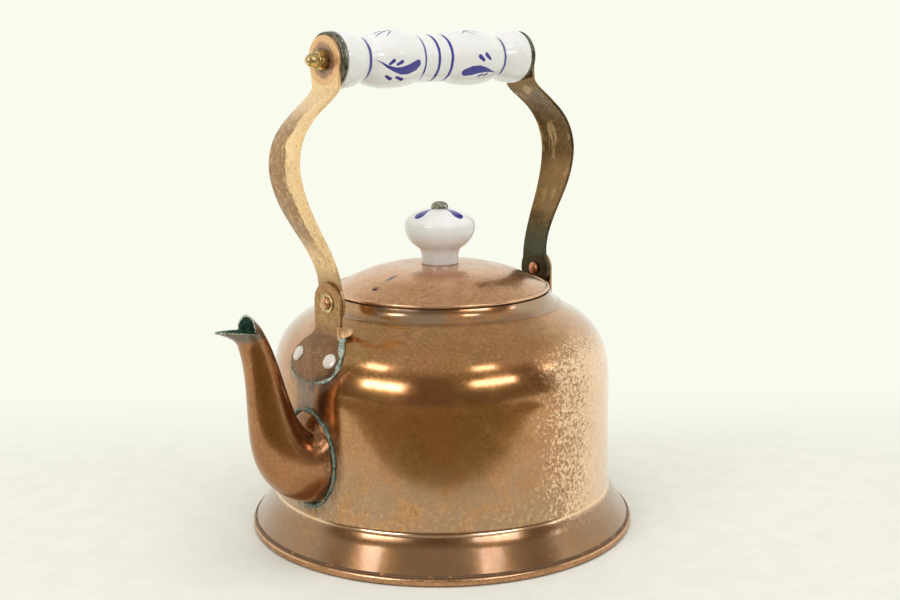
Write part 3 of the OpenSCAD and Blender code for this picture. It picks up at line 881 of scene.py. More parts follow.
# painted lines: points (along the grip, around it, half width) in mm, joined in order
GRIP_LINES = [
    [(-42.9, -3.1, 0.15), (-37.5, 0.0, 0.7), (-33.0, 1.4, 1.2), (-28.8, 1.9, 2.0),
     (-24.5, 1.3, 2.5), (-20.6, -0.2, 2.5), (-18.6, -1.4, 2.0)],
    [(-36.6, -1.4, 0.7), (-34.3, -3.0, 0.95)],
    [(-32.3, -1.2, 0.7), (-29.3, -2.5, 0.95)],
    [(-37.0, 5.2, 0.7), (-34.0, 6.7, 1.0)],
    [(-31.0, 5.4, 0.7), (-27.0, 6.8, 1.0)],
    [(-40.0, -17.6, 0.2), (-34.2, -20.3, 0.35), (-29.0, -21.8, 0.35), (-22.0, -21.6, 0.2)],
    [(-39.0, -20.6, 0.2), (-34.3, -21.7, 0.3)],
    [(-33.8, -16.8, 0.2), (-29.1, -20.2, 0.3)],
    [(36.5, 4.7, 0.15), (32.5, 3.6, 0.6), (28.0, 2.6, 1.4), (23.5, 2.4, 2.2),
     (19.5, 3.2, 2.7), (15.8, 4.6, 2.3)],
    [(23.2, -4.2, 1.2), (25.8, -2.4, 0.8)],
    [(27.8, -5.0, 1.2), (30.2, -3.0, 0.8)],
    [(24.8, 6.2, 0.6), (27.0, 5.2, 0.6)],
    [(28.4, 5.9, 0.6), (30.4, 4.9, 0.6)],
    [(18.0, -19.0, 0.2), (22.0, -21.6, 0.35), (29.0, -19.0, 0.2)],
    [(24.5, -17.2, 0.2), (20.5, -21.4, 0.3)],
]
# painted rings: place along the grip, half width
GRIP_RINGS = [(-46.3, 1.2), (-12.2, 0.9), (-2.7, 0.9), (6.1, 0.95), (44.6, 1.0)]
GRIP_REPEATS = 2
LEAF_ANGLE = 105.0
GRIP_MIDDLE_R = 14.0


def grip_porcelain():
    paint = Paint("grip porcelain", IOR=1.5, Coat_Weight=0.4, Coat_Roughness=0.05)
    side = paint.calc("MULTIPLY", paint.calc("SUBTRACT", paint.y, GRIP_Y), -1.0)
    up = paint.calc("SUBTRACT", paint.z, GRIP_Z)
    angle = paint.calc("DEGREES", paint.calc("ARCTAN2", side, up))
    step = 360.0 / GRIP_REPEATS
    turned = paint.calc("SUBTRACT", angle, LEAF_ANGLE - step / 2)
    share = paint.calc("SUBTRACT", paint.calc("FLOORED_MODULO", turned, step), step / 2)
    around = paint.calc("MULTIPLY", share, math.radians(GRIP_MIDDLE_R))
    ripple = paint.calc("MULTIPLY", paint.calc("SUBTRACT", paint.cloud(5, 2, 0.5), 0.5), 0.8)
    along = paint.calc("ADD", paint.x, ripple)
    spot = vector_of(paint, along, around)
    distances = []
    for line in GRIP_LINES:
        for start, end in zip(line, line[1:]):
            distances.append(stroke(paint, spot, start, end))
    for centre, half in GRIP_RINGS:
        away = paint.calc("ABSOLUTE", paint.calc("SUBTRACT", along, centre))
        distances.append(paint.calc("SUBTRACT", away, half))
    return glazed(paint, union_ink(paint, distances), 0.0)


def knob_porcelain():
    """Four teardrop petals round the screw."""
    paint = Paint("knob porcelain", IOR=1.5, Coat_Weight=0.4, Coat_Roughness=0.05)
    wide = paint.calc("ABSOLUTE", paint.x)
    deep = paint.calc("ABSOLUTE", paint.y)
    spot = vector_of(paint, paint.most(wide, deep), paint.calc("MINIMUM", wide, deep))
    petal = stroke(paint, spot, (5.0, 0.0, 0.6), (13.2, 0.0, 2.9))
    top = paint.fade(paint.z, KNOB_TOP_Z - 9.0, KNOB_TOP_Z - 8.0)
    ink = paint.times(union_ink(paint, [petal]), top)
    centre = paint.near((0, 0, KNOB_TOP_Z), (1, 1, 1000))
    return glazed(paint, ink, paint.fade(centre, 11.0, 6.0))


# ---------------------------------------------------------------- kettle body and base
def foot_line(z):
    return FOOT_R - (FOOT_R - WALL_R) / (20 - SEAM_Z) * (z - SEAM_Z)


def body_profile():
    outer = curve(NECK, 14) + curve(SHOULDER, 56, 1)
    outer += [(WALL_R, z) for z in range(72, 26, -5)]
    outer += [(WALL_R, 25.2), (WALL_R - 0.1, 23.4), (WALL_R - 0.1, 22.4), (WALL_R, 21.6)]
    outer += [(WALL_R + 0.2, 20.9), (WALL_R + 0.6, 20.2), (WALL_R + 1.15, 19.3)]
    outer += [(foot_line(z), z) for z in (17.8, 14.5, 11.5, 8.5, 6.0)]
    outer += [(FOOT_R, SEAM_Z), (FOOT_R + 0.1, SHEET)]
    inner = [(FOOT_R - 1.5, SHEET), (FOOT_R - 1.5, SEAM_Z)]
    inner += [(foot_line(z) - 1.5, z) for z in (9.0, 14.0, 17.4)]
    inner += [(WALL_R - SHEET + 0.4, 20.0), (WALL_R - SHEET, 23.2)]
    inner += [(WALL_R - SHEET, z) for z in (40, 60)]
    inner += [beside(i / 40, SHOULDER, -SHEET) for i in range(40, 3, -1)]
    inner += [beside(i / 10, NECK, -SHEET) for i in range(9, 0, -1)]
    inner += [(NECK_TOP_R - 1.25, NECK_TOP_Z - 0.3), (NECK_TOP_R - 0.6, NECK_TOP_Z)]
    return outer + inner


HOLE_R = 2.6
HOLE_GAP = 9


def strainer_hole(row, column):
    """A round peg through the wall behind the spout."""
    y, z = HOLE_GAP * (column - 1), 37 + HOLE_GAP * row
    return peg((-WALL_R - 6, -WALL_R + 6), 24, lambda x, c, s: (x, y + HOLE_R * c, z + HOLE_R * s))


def build_body():
    shape = lathe(body_profile(), 224)
    body = piece("body", shape, copper_body(), KETTLE, ["body_shell"], 30)
    cut(body, [strainer_hole(row, column) for row in range(4) for column in range(3)], 30)


def fold_shape(r, z, a):
    """The folded rim is a little uneven."""
    if r < FOOT_R + 0.3:
        return r
    return r - 0.12 - 0.12 * wobble(40 * math.cos(a), 40 * math.sin(a), z, 9)


def build_base():
    fold = [(BASE_R - 1.6, 0.0), (BASE_R - 0.7, 0.25), (BASE_R - 0.15, 0.8), (BASE_R, 1.6)]
    fold += [(BASE_R - 0.02, 2.6), (BASE_R - 0.2, 3.4), (BASE_R - 0.6, 4.0), (BASE_R - 1.0, SEAM_Z)]
    profile = [(0.0, 0.0), (40.0, 0.0), (80.0, 0.0)] + fold
    profile += [(FOOT_R + 0.05, SEAM_Z - 0.25), (FOOT_R + 0.1, SHEET), (80.0, SHEET)]
    profile += [(40.0, SHEET), (0.0, SHEET)]
    shape = lathe(profile, 224, closed=False, shape=fold_shape)
    piece("base", shape, copper_base(), KETTLE, ["base_plate"], 40)


def build_base_seam():
    """Uneven solder line where the foot enters the fold."""
    def lumps(r, z, a):
        swell = wobble(60 * math.cos(a), 60 * math.sin(a), 3.0, 5)
        return r + 0.22 * swell * (1 if z > SEAM_Z + 0.2 else 0)

    profile = [(FOOT_R - 0.2, SEAM_Z - 0.2), (FOOT_R + 0.4, SEAM_Z - 0.05)]
    profile += [(FOOT_R + 0.35, SEAM_Z + 0.25), (FOOT_R + 0.05, SEAM_Z + 0.6)]
    profile += [(FOOT_R - 0.3, SEAM_Z + 0.75), (foot_line(SEAM_Z + 1.1) - 0.25, SEAM_Z + 1.1)]
    metal = solder("base solder", (0.17, 0.10, 0.055), 5, 0.66)
    seam = lathe(profile, 288, shape=lumps)
    piece("base_seam", seam, metal, KETTLE, ["base_solder_seam"], 50)


# ---------------------------------------------------------------- spout
SPOUT_PATH = [(-84, 50.5), (-101.5, 49.5), (-113.5, 60.3), (-105.4, 96.8), (-122.6, 121.4)]
SPOUT_WIDE = [(17.7,), (14.8,), (7.9,), (6.8,)]
SPOUT_TALL = [(23.7,), (13.6,), (9.3,), (6.0,)]
TUBE_END = 0.93
ROOT_RINGS = 22
MOUTH_RINGS = 7
ROOT_STEP = 0.6
SPOUT_T = 0.9
MOUTH_X = 120.5
MOUTH_Z = 118
MOUTH_HALF = 7.5


def spout_centre(t):
    u = 1 - t
    weights = (u ** 4, 4 * t * u ** 3, 6 * t * t * u * u, 4 * t ** 3 * u, t ** 4)
    return [sum(w * p[k] for w, p in zip(weights, SPOUT_PATH)) for k in (0, 1)]


def spout_direction(t):
    a, b = spout_centre(t - 0.002), spout_centre(t + 0.002)
    length = math.hypot(b[0] - a[0], b[1] - a[1])
    return ((b[0] - a[0]) / length, (b[1] - a[1]) / length)


def tube_point(t, q, growth):
    """Point of the spout's tube: q = 90 degrees is the lip side."""
    x, z = spout_centre(t)
    dx, dz = spout_direction(t)
    across = (cubic(t, SPOUT_WIDE)[0] + growth) * math.cos(q)
    rise = (cubic(t, SPOUT_TALL)[0] + growth) * math.sin(q)
    return (x - dz * rise, across, z + dx * rise)


def lip_point(q, growth):
    """Point of the mouth's edge: a pouring lip in front and a hood behind."""
    s, w = math.sin(q), MOUTH_HALF + growth
    if s >= 0:
        x = -MOUTH_X - (LIP_X - MOUTH_X + growth) * s ** 1.2
        return (x, w * math.cos(q) * (1 - 0.35 * s), MOUTH_Z + 1.8 * s - 0.7 * growth * s)
    return (-MOUTH_X + 0.8 * s * s, w * math.cos(q), MOUTH_Z - (HOOD_Z - MOUTH_Z + growth) * s)


def spout_point(step, q, growth):
    """Point at a ring number: 0 to ROOT_RINGS is the tube, the last stretch is the mouth."""
    if step <= ROOT_RINGS:
        x, y, z = tube_point(TUBE_END * step / ROOT_RINGS, q, growth)
        wall = -math.sqrt(WALL_R * WALL_R - y * y) - 0.04 - ROOT_STEP * step
        return (min(x, wall), y, z)
    u = (step - ROOT_RINGS) / MOUTH_RINGS
    start, end = tube_point(TUBE_END, q, growth), lip_point(q, growth)
    dx, dz = spout_direction(TUBE_END)
    middle = (start[0] + 5 * dx, start[1], start[2] + 5 * dz)
    return tuple(
        (1 - u) ** 2 * a + 2 * u * (1 - u) * b + u * u * c for a, b, c in zip(start, middle, end)
    )


def build_spout():
    sides, fine = 96, 4
    steps = [k / fine for k in range((ROOT_RINGS + MOUTH_RINGS) * fine + 1)]
    angles = [2 * math.pi * j / sides for j in range(sides)]
    outer = [spout_point(s, q, 0.0) for s in steps for q in angles]
    inner = [spout_point(s, q, -SPOUT_T) for s in steps for q in angles]
    rows = len(steps)
    faces = [tuple(reversed(f)) for f in grid_faces(rows, sides, False, True)]
    faces += grid_faces(rows, sides, False, True, base=rows * sides)
    top, size = (rows - 1) * sides, rows * sides
    for j in range(sides):
        k = (j + 1) % sides
        faces.append((j, k, size + k, size + j))
        faces.append((top + k, top + j, size + top + j, size + top + k))
    shape = (outer + inner, faces)
    line_spout(piece("spout_tube", shape, copper_spout(), KETTLE, ["spout"], 50))


def line_spout(spout):
    """Gives the spout's inside and its lip edge their own materials."""
    spout.data.materials.append(spout_lining())
    spout.data.materials.append(lip_edge())
    count = 360
    edge = [Vector(lip_point(2 * math.pi * k / count, -SPOUT_T / 2)) for k in range(count)]
    for face in spout.data.polygons:
        centre = face.center / MM
        if centre.z < 110:
            continue
        t = between(centre.z, [(110, 0.87), (118, 0.97), (126, 1.0)])
        x, z = spout_centre(t)
        inward = Vector((min(x, centre.x + 4) if centre.x < x else x, 0, z)) - centre
        if inward.dot(face.normal) > 0:
            face.material_index = 1
        if min((centre - p).length for p in edge) < 0.3:
            face.material_index = 2


def build_spout_bead():
    """Lumpy solder and crust round the spout's root."""
    count = 240
    line, sizes = [], []
    for k in range(count):
        q = 2 * math.pi * k / count
        x, y, z = spout_point(0, q, 0.5)
        line.append((x - 0.25, y, z))
        sizes.append(0.95 + 0.45 * wobble(x, y, z, 4.5))
    bead = tube(line, sizes, 10, True)
    metal = solder("spout solder", SOLDER, 65, 0.46)
    piece("spout_bead", bead, metal, KETTLE, ["spout_solder_seam"], 60)


# ---------------------------------------------------------------- brackets and rivets
PLATE_T = 1.4
TAB_R = 9.9
PEAR = [(0.0, 89.0), (5.6, 89.3), (10.8, 90.3), (14.6, 92.2), (16.9, 95.0), (17.6, 98.2),
        (17.0, 101.2), (15.2, 104.6), (12.6, 107.4), (10.6, 110.0), (TAB_R, 113.0)]


def shoulder_radius(z, offset):
    """Radius of the shoulder's offset surface at a height."""
    rows = [beside(i / 60, SHOULDER, offset) for i in range(60, -1, -1)]
    return between(z, [(p[1], p[0]) for p in rows])


def plate_face(y, z):
    """Outer face of a bracket: the upright tab runs smoothly into the plate below it."""
    radius = shoulder_radius(z, PLATE_T)
    lying = math.sqrt(max(radius * radius - y * y, 0.0)) if z < CREASE[1] else 0.0
    soft = 1.6
    gap = max(soft - abs(lying - TAB_X), 0.0)
    return max(lying, TAB_X) + gap * gap / (4 * soft)


def bracket_grid(side):
    outline = smooth(PEAR, 5) + [(TAB_R, z) for z in (115.5, 118.0, 120.5, 123.0)]
    for k in range(0, 19):
        a = math.pi / 2 * k / 18
        outline.append((TAB_R * math.cos(a), PIVOT_Z + TAB_R * math.sin(a)))
    grid = []
    for half, z in outline:
        half = max(half, 0.02)
        row = [(half * u / 8, z) for u in range(-8, 9)]
        grid.append([(side * plate_face(y, z), side * y, z) for y, z in row])
    return grid


EAR_START_Y = 9.2
EAR_END_Y = 15.5


def ear_grid(side):
    """A small ear beside the tab that stops the folded strap."""
    grid = []
    for i in range(11):
        y = EAR_START_Y + (EAR_END_Y - EAR_START_Y) * i / 10
        top = between(y, [(TAB_R, 114.8), (14.8, 114.0), (EAR_END_Y, 113.2)])
        bottom = between(y, [(TAB_R, 108.2), (14.4, 110.8), (EAR_END_Y, 112.4)])
        x = TAB_X - 0.95 * max(y - 10.3, 0.0)
        curl = between(y, [(TAB_R, 0.0), (12.0, 1.3), (EAR_END_Y, 1.0)])
        row = []
        for j in range(5):
            row.append((side * (x + curl * (0.9 - j / 4)), side * y,
                        bottom + (top - bottom) * j / 4))
        grid.append(row)
    return grid


def build_bracket(side, node, material, rubbed):
    plate = slab(bracket_grid(side), PLATE_T)
    plate = piece(f"{node}_plate", plate, material, KETTLE, [node], 40)
    round_edges(plate, 0.4, rubbed)
    ear = slab(ear_grid(side), PLATE_T)
    ear = piece(f"{node}_ear", ear, ear_highlight_copper(), KETTLE, [], 40)
    round_edges(ear, 0.35, rubbed)


RIVET_T = 0.675
RIVET_TURN = 8.4


def rivet_places():
    """Each bracket rivet's foot on the shoulder, and its outward direction."""
    r, z = cubic(RIVET_T, SHOULDER)
    dx, dz = slope(RIVET_T, SHOULDER)
    places = []
    for side in (0, 180):
        for turn in (-RIVET_TURN, RIVET_TURN):
            a = math.radians(side + turn)
            foot = Vector((r * math.cos(a), r * math.sin(a), z))
            out = Vector((-dz * math.cos(a), -dz * math.sin(a), dx))
            places.append((foot, out.normalized()))
    return places


def build_bracket_rivets():
    head = [(0.0, 2.4), (1.4, 2.38), (2.5, 2.28), (3.2, 2.06), (3.65, 1.75), (3.8, 1.45)]
    head += [(3.8, 1.42), (2.0, 1.4), (2.0, -SHEET - 0.4), (3.1, -SHEET - 0.45)]
    head += [(3.0, -SHEET - 1.1), (2.2, -SHEET - 1.4), (0.0, -SHEET - 1.4)]
    heads = []
    for foot, out in rivet_places():
        turn = out.to_track_quat("Z", "Y").to_matrix()
        seed = foot.x + foot.y

        def shape(r, z, a, seed=seed):
            return r * (1 + 0.04 * wobble(3 * math.cos(a), 3 * math.sin(a), seed, 2.0))

        def place(p, turn=turn, foot=foot):
            return tuple(foot + turn @ Vector(p))

        heads.append(lathe(head, 40, place, closed=False, shape=shape))
    piece("bracket_rivet_heads", together(heads), rivet_alloy(), KETTLE, ["bracket_rivets"],
          40)


def build_pivots():
    """Hinge rivets with domed heads, and a washer under each."""
    shank = [(0.0, -5.5), (1.8, -5.5), (2.8, -5.0), (3.3, -4.5), (3.3, -3.9), (2.2, -3.8)]
    shank += [(2.2, 0.6), (3.05, 0.62), (3.1, 1.0), (2.9, 1.45), (2.3, 1.9), (1.3, 2.22)]
    shank += [(0.0, 2.3)]
    washer = [(2.25, 0.0), (4.7, 0.0), (4.9, 0.15), (4.9, 0.42), (4.65, 0.6), (2.25, 0.5)]
    sides = [along_x(side, TAB_X) for side in (-1, 1)]
    heads = together([lathe(shank, 40, place, closed=False) for place in sides])
    rings = together([lathe(washer, 40, place) for place in sides])
    piece("pivot_heads", heads, copper_rivet(), KETTLE, ["pivot_rivets"], 35)
    piece("washers", rings, brass("washer brass", 11), KETTLE, ["pivot_washers"], 35)


def build_crust():
    """Verdigris gathered along the lower and right edges of the front bracket plate."""
    outline = smooth(PEAR, 5)
    line = []
    for half, z in reversed(outline[6:]):
        line.append((-plate_face(half, z) + 0.9, -half - 0.25, z - 0.1))
    for half, z in outline[2:14]:
        line.append((-plate_face(half, z) + 0.9, half + 0.2, z - 0.2))
    sizes = [0.95 + 0.6 * wobble(*p, 2.2) + 0.5 * (p[1] < 0 < p[2] - 103) for p in line]
    piece("bracket_crust", tube(line, sizes, 8, False), verdigris(), KETTLE, [], 60)


# ---------------------------------------------------------------- lid, knob and screw
def build_lid():
    top, rim = LID_TOP_Z, LID_RIM_Z
    dome = [(0.0, top), (10, top), (16, top - 0.1), (24, top - 0.7), (32, top - 2.1)]
    dome += [(40, top - 4.5), (47, top - 7.6), (52, top - 10.1), (54, top - 11.3)]
    outer = smooth(dome, 4)
    edge = [(54.6, rim + 1.7), (55.1, rim + 2.05), (55.7, rim + 2.0), (56.2, rim + 1.55)]
    edge += [(LID_R, rim + 1.0), (56.2, rim + 0.45), (55.75, rim + 0.05), (55.2, rim)]
    edge = smooth(edge, 3)
    inner = [(53.4, rim), (53.1, rim + 0.9)]
    inner += [(max(r - 0.35, 0.0), z - 1.1) for r, z in reversed(outer)]
    shape = lathe(outer + edge + inner, 224, closed=False)
    lid = piece("lid_cover", shape, copper_lid(), LID, ["lid_shell"], 40)
    # a short slot near the edge on the spout side
    vent = peg((top - 12, top + 2), 20, lambda z, c, s: (VENT_X + 0.65 * c, VENT_Y + 1.6 * s, z))
    cut(lid, [vent], 40)


def build_knob():
    h = KNOB_TOP_Z - LID_TOP_Z
    low_part = [(9.7, 0.0), (9.5, 3.0), (9.2, 7.0), (11.6, 8.6)]
    side = [(11.6, 8.6), (16.2, 11.4), (KNOB_R + 0.2, 15.5), (KNOB_R, 20.2)]
    top = [(KNOB_R, 20.2), (KNOB_R - 0.2, 24.4), (12.6, h - 0.6), (4.6, h)]
    profile = [(2.15, 0.0), (9.2, 0.0), (9.55, 0.15)] + curve(low_part, 14, 1)
    profile += curve(side, 20, 1) + curve(top, 28, 1) + [(2.15, h)]
    profile = [(r, LID_TOP_Z + z) for r, z in profile]
    piece("knob", lathe(profile, 128), knob_porcelain(), LID, ["lid_knob"], 40)


def build_screw():
    top = KNOB_TOP_Z
    profile = [(0.0, top + 3.5), (1.3, top + 3.45), (2.6, top + 3.1), (3.7, top + 2.4)]
    profile += [(4.3, top + 1.4), (4.4, top + 0.5), (4.2, top), (2.0, top), (2.0, LID_TOP_Z - 8.5)]
    profile += [(0.0, LID_TOP_Z - 8.5)]
    shape = lathe(profile, 48, closed=False)
    screw = piece("screw", shape, screw_steel(), LID, ["knob_screw"], 35)
    half_length, half_width, turn = 6, 0.65, math.radians(-52)
    corners = []
    for z in (top + 2.0, top + 6.0):
        for u, v in ((-1, -1), (1, -1), (1, 1), (-1, 1)):
            x, y = u * half_length, v * half_width
            corners.append((x * math.cos(turn) - y * math.sin(turn),
                            x * math.sin(turn) + y * math.cos(turn), z))
    faces = [(3, 2, 1, 0), (4, 5, 6, 7), (0, 1, 5, 4), (1, 2, 6, 5), (2, 3, 7, 6), (3, 0, 4, 7)]
    cut(screw, [link("cutter", raw_mesh("cutter", (corners, faces)))], 35)


# ---------------------------------------------------------------- handle
STRAP_LOW = [(TAB_X - 1.9, PIVOT_Z + 6), (TAB_X - 1.8, PIVOT_Z + 25),
             (BULGE_X - 1.5, PIVOT_Z + 41), (BULGE_X, PIVOT_Z + 65)]
STRAP_HIGH = [(BULGE_X, PIVOT_Z + 65), (BULGE_X, PIVOT_Z + 91),
              (STRAP_TOP_X + 0.5, PIVOT_Z + 96), (STRAP_TOP_X, PIVOT_Z + 104)]
EDGE_LOW = [(8.4, PIVOT_Z + 5.5), (7.3, PIVOT_Z + 17), (8.2, PIVOT_Z + 24), (10.0, PIVOT_Z + 40)]
EDGE_HIGH = [(10.0, PIVOT_Z + 40), (11.7, PIVOT_Z + 52), (12.3, PIVOT_Z + 74),
             (10.1, PIVOT_Z + 90)]
EYE_R = 10.0
STRAP_CROWN = 0.9
DISC_R = 11.7


def strap_half_width(z):
    """Half width of a strap at a height: a round eye, a waist, a swell and a round end."""
    rows = [(p[1], p[0]) for p in curve(EDGE_LOW, 12) + curve(EDGE_HIGH, 12, 1)]
    rows += [(PIVOT_Z + 98, 10.2), (PIVOT_Z + REACH - 5.5, 10.3)]
    eye = EYE_R ** 2 - (z - PIVOT_Z) ** 2
    disc = DISC_R ** 2 - (z - PIVOT_Z - REACH) ** 2
    width = between(z, rows) if rows[0][0] <= z <= rows[-1][0] else 0.0
    return max(width, math.sqrt(max(eye, 0.0)), math.sqrt(max(disc, 0.0)), 0.02)


def strap_line():
    """Outer face of a strap seen from the side, from the eye up to the round end."""
    line = []
    for k in range(15):
        line.append((TAB_X - 1.9, PIVOT_Z - EYE_R * math.cos(math.pi / 2 * k / 14)))
    line += [(TAB_X - 1.9, PIVOT_Z + z) for z in (2.0, 4.0)]
    line += curve(STRAP_LOW, 40) + curve(STRAP_HIGH, 36, 1)
    middle = PIVOT_Z + REACH
    line += [(STRAP_TOP_X, middle - z) for z in (8.0, 5.0, 2.0)]
    for k in range(19):
        line.append((STRAP_TOP_X, middle + DISC_R * math.sin(math.pi / 2 * k / 18)))
    return line


def build_strap(side, node, material, rubbed):
    grid = []
    for x, z in strap_line():
        half = strap_half_width(z)
        crown = STRAP_CROWN * between(z, [(PIVOT_Z + 6, 0.0), (PIVOT_Z + 30, 1.0),
                                          (PIVOT_Z + 90, 1.0), (PIVOT_Z + 104, 0.0)])
        grid.append([
            leaned((side * (x - crown * (u / 8) ** 2), side * half * u / 8, z))
            for u in range(-8, 9)
        ])
    band = slab(grid, STRAP_T)
    strap = piece(f"{node}_band", band, material, HANDLE, [node], 40)
    round_edges(strap, 0.4, rubbed)


def grip_profile():
    """Radius and distance from the middle of one half of the grip."""
    g = GRIP_HALF
    flare = [(13.6, g), (14.0, g - 1.6), (13.9, g - 5.2), (13.1, g - 9.8), (11.7, g - 13.4)]
    flare += [(10.6, g - 16), (11.3, g - 18.3)]
    egg = [(11.3, g - 18.3), (14.56, g - 22.5), (16.06, g - 39.5), (12.0, g - 50.5)]
    half = smooth(flare, 5) + curve(egg, 32, 1) + [(12.0, 8), (12.0, 4)]
    return [(3.0, g), (13.0, g), (13.5, g - 0.2)] + half[1:] + [(12.0, 0)]


def build_grip():
    half = grip_profile()
    profile = half + [(r, -s) for r, s in reversed(half[:-1])]
    shape = lathe(profile, 128, on_grip(1, 0.0))
    piece("grip_handle", shape, grip_porcelain(), HANDLE, ["grip"], 40)


def build_caps():
    """Turned ferrules with a rubbed lip at each edge."""
    r, t = 13.3, CAP_T
    profile = [(2.5, 0.0), (r - 0.5, 0.0), (r, 0.3), (r, 0.8), (r - 0.5, 1.15), (r - 0.6, 1.5)]
    profile += [(r - 0.6, t - 1.4), (r - 0.4, t - 1.0), (r, t - 0.7), (r, t - 0.3)]
    profile += [(r - 0.5, t), (2.5, t)]
    metal = dark_nickel()
    for side, node in ((-1, "front_end_cap"), (1, "rear_end_cap")):
        ring = lathe(profile, 96, on_grip(side, GRIP_HALF))
        piece(f"{node}_ring", ring, metal, HANDLE, [node], 30)


def build_nuts():
    """Acorn nuts: a chamfered hexagon with a dome on top."""
    corner_r, hexagon_top = 5.15, 4.15
    flat = corner_r * math.cos(math.pi / 6)

    def hexagon(limit, z, a):
        if z > hexagon_top:
            return limit
        sixth = (a + math.pi / 6) % (math.pi / 3) - math.pi / 6
        return min(limit, flat / math.cos(sixth))

    profile = [(0.0, 0.0), (4.7, 0.0), (corner_r, 0.4), (corner_r, 3.5), (4.6, hexagon_top)]
    profile += [(3.7, 4.2)]
    profile += [(3.45, 4.35), (3.45, 5.2), (3.4, 6.2), (3.25, 7.1), (2.95, 8.0), (2.5, 8.85)]
    profile += [(1.9, 9.55), (1.1, 10.05), (0.0, 10.2)]
    nuts = together([
        lathe(profile, 72, on_grip(side, STRAP_TOP_X), closed=False, shape=hexagon)
        for side in (-1, 1)
    ])
    piece("nuts", nuts, brass("nut brass", 41), HANDLE, ["acorn_nuts"], 25)


# ---------------------------------------------------------------- CAD nodes kept as they are
def dress_hidden_nodes():
    """Procedural finishes for the pieces that show only when the lid is off."""
    finishes = {
        "lid_collar": (copper_inner(), "copper_lid_inner"),
        "knob_washer": (brass("hidden brass", 71), "brass"),
        "knob_nut": (brass("nut under lid", 91), "brass"),
        "grip_rod": (screw_steel(), "screw_steel"),
    }
    for name, (material, slot) in finishes.items():
        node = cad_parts[name]
        node.data.materials.clear()
        node.data.materials.append(material)


# ---------------------------------------------------------------- stage, light and camera
CAMERA_AT = Vector((-461.03, -507.07, 250.11))
CAMERA_TO = Vector((3.686, -3.351, 116.416))
CAMERA_ROLL = -0.007
VIEW_TURN = math.radians(42.28)
WALL_COLOUR = (0.947, 0.965, 0.855)


def stage_point(x, y, z):
    """A point given from the camera's side: x to the right, y away from the camera, in metres."""
    c, s = math.cos(VIEW_TURN), math.sin(VIEW_TURN)
    return Vector((x * c + y * s, -x * s + y * c, z))


def floor_material():
    """Pale cloth that fades into the backdrop at its far edge."""
    paint = Paint("pale floor", Metallic=0.0)
    speck = paint.blobs(16, 4, 0.6, 0, 0.35, 0.65)
    paint.colour = paint.mix(speck, (0.80, 0.825, 0.765), (0.83, 0.853, 0.80))
    paint.finish(paint.blobs(30, 2, 0.5, 0, 0.3, 0.7, 0.7, 0.85))
    glow = paint.add("ShaderNodeEmission")
    paint.join(WALL_COLOUR, glow.inputs["Color"])
    blend = paint.add("ShaderNodeMixShader")
    paint.join(paint.fade(paint.y, 60.0, 268.0), blend.inputs[0])
    paint.join(paint.shader.outputs[0], blend.inputs[1])
    paint.join(glow.outputs[0], blend.inputs[2])
    paint.join(blend.outputs[0], paint.output.inputs["Surface"])
    return paint.material


def panel(name, corners, z, material):
    """A flat sheet lying at height z, turned to face the camera, in metres."""
    mesh = bpy.data.meshes.new(name)
    mesh.from_pydata([(x, y, z) for x, y in corners], [], [tuple(range(len(corners)))])
    mesh.materials.append(material)
    obj = link(name, mesh)
    obj.rotation_euler = (0, 0, -VIEW_TURN)
    return obj


def build_floor():
    back, front, half = 0.272, -1.6, 2.4
    corners = [(-half, front), (half, front), (half, back), (-half, back)]
    panel("floor", corners, 0, floor_material())


def dark_material():
    paint = Paint("dark card", Metallic=0.0)
    paint.colour = paint.mix(paint.cloud(200, 2, 0.5), (0.19, 0.14, 0.05), (0.23, 0.17, 0.07))
    return paint.finish(0.9)


def build_dark_card():
    """A dark card on the floor in front of the kettle, seen only in reflections."""
    corners = [(-1.5, -1.6), (1.2, -1.6), (0.9, -0.62), (0.52, -0.22), (0.0, -0.215)]
    card = panel("dark_card", corners + [(-1.5, -0.215)], 0.0004, dark_material())
    card.visible_camera = False
    card.visible_diffuse = False
    card.visible_shadow = False
    card.visible_transmission = False


def softbox(name, turn, rise, distance, width, height, radiance, glossy=True):
    """An area light seen from the kettle at turn degrees right of the camera, rise above."""
    aim_z = 0.08
    a = math.radians(turn)
    spot = stage_point(distance * math.sin(a), -distance * math.cos(a),
                       distance * math.tan(math.radians(rise)) + aim_z)
    light = bpy.data.lights.new(name, "AREA")
    light.shape = "RECTANGLE"
    light.size = width
    light.size_y = height
    light.energy = radiance * math.pi * width * height
    light.color = (1.0, 0.98, 1.0)
    obj = link(name, light)
    obj.location = spot
    aim = Vector((0, 0, aim_z)) - spot
    obj.rotation_euler = aim.to_track_quat("-Z", "Y").to_euler()
    obj.visible_camera = False
    obj.visible_glossy = glossy


def build_lights():
    softbox("left_box", -39, 17, 2.2, 1.1, 0.36, 8.5)
    softbox("left_upper", -53, 42, 2.2, 0.7, 0.4, 6.0)
    softbox("right_box", 36, 22, 2.2, 1.2, 0.32, 6.0)
    softbox("right_upper", 36, 45, 2.2, 0.7, 0.4, 4.4)
    softbox("right_edge", 81, 23, 2.2, 0.18, 0.3, 4.0)
    softbox("overhead", 0, 80, 0.5, 2.0, 2.0, 2.85, glossy=False)


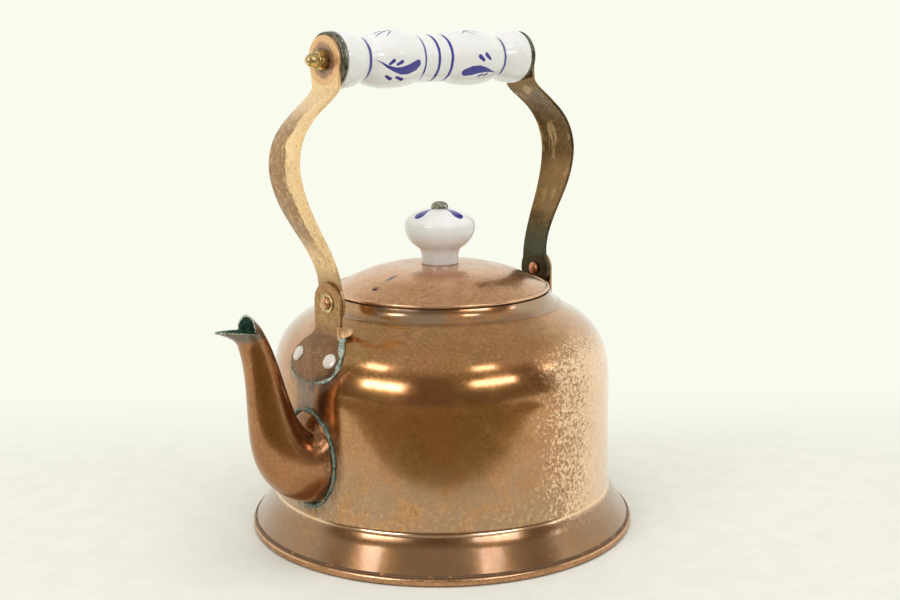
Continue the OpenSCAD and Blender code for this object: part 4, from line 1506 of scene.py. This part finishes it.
def build_world():
    """Pale backdrop to the camera. Round the object: white behind, dim and warm in front."""
    world = bpy.data.worlds.new("studio")
    nodes = Nodes(world)
    direction = nodes.add("ShaderNodeTexCoord").outputs["Generated"]
    toward = ((CAMERA_AT - CAMERA_TO) * Vector((1, 1, 0))).normalized()
    facing = nodes.vector("DOT_PRODUCT", direction, toward, "Value")
    room = nodes.mix(nodes.fade(facing, 0.02, 0.30), (0.95, 0.96, 0.88), (0.20, 0.15, 0.10))
    height = nodes.fade(nodes.split(direction)[2], 0.45, 0.80)
    ceiling = nodes.mix(height, room, (0.55, 0.52, 0.44))
    seen = nodes.add("ShaderNodeLightPath").outputs["Is Camera Ray"]
    background = nodes.add("ShaderNodeBackground")
    nodes.join(nodes.mix(seen, ceiling, WALL_COLOUR), background.inputs["Color"])
    nodes.join(background.outputs[0], nodes.add("ShaderNodeOutputWorld").inputs["Surface"])
    bpy.context.scene.world = world


def build_camera():
    lens = bpy.data.cameras.new("camera")
    lens.lens = 53.76
    lens.sensor_width = 36.0
    camera = link("camera", lens)
    forward = (CAMERA_TO - CAMERA_AT).normalized()
    right = forward.cross(Vector((0, 0, 1))).normalized()
    up = right.cross(forward)
    c, s = math.cos(CAMERA_ROLL), math.sin(CAMERA_ROLL)
    right, up = c * right + s * up, -s * right + c * up
    turn = Matrix((right, up, -forward)).transposed().to_4x4()
    camera.matrix_world = Matrix.Translation(CAMERA_AT * MM) @ turn
    bpy.context.scene.camera = camera
    bpy.context.scene.view_settings.view_transform = "Standard"


# ---------------------------------------------------------------- build everything
build_body()
build_base()
build_base_seam()
build_spout()
build_spout_bead()
bracket_copper = copper_bracket()
rubbed_copper = edge_copper()
build_bracket(-1, "front_bracket", bracket_copper, rubbed_copper)
build_bracket(1, "rear_bracket", bracket_copper, rubbed_copper)
build_bracket_rivets()
build_pivots()
build_crust()
build_lid()
build_knob()
build_screw()
build_strap(-1, "front_strap", front_strap_copper(), rubbed_copper)
build_strap(1, "rear_strap", rear_strap_copper(), rubbed_copper)
build_grip()
build_caps()
build_nuts()
dress_hidden_nodes()
build_floor()
build_dark_card()
build_lights()
build_world()
build_camera()
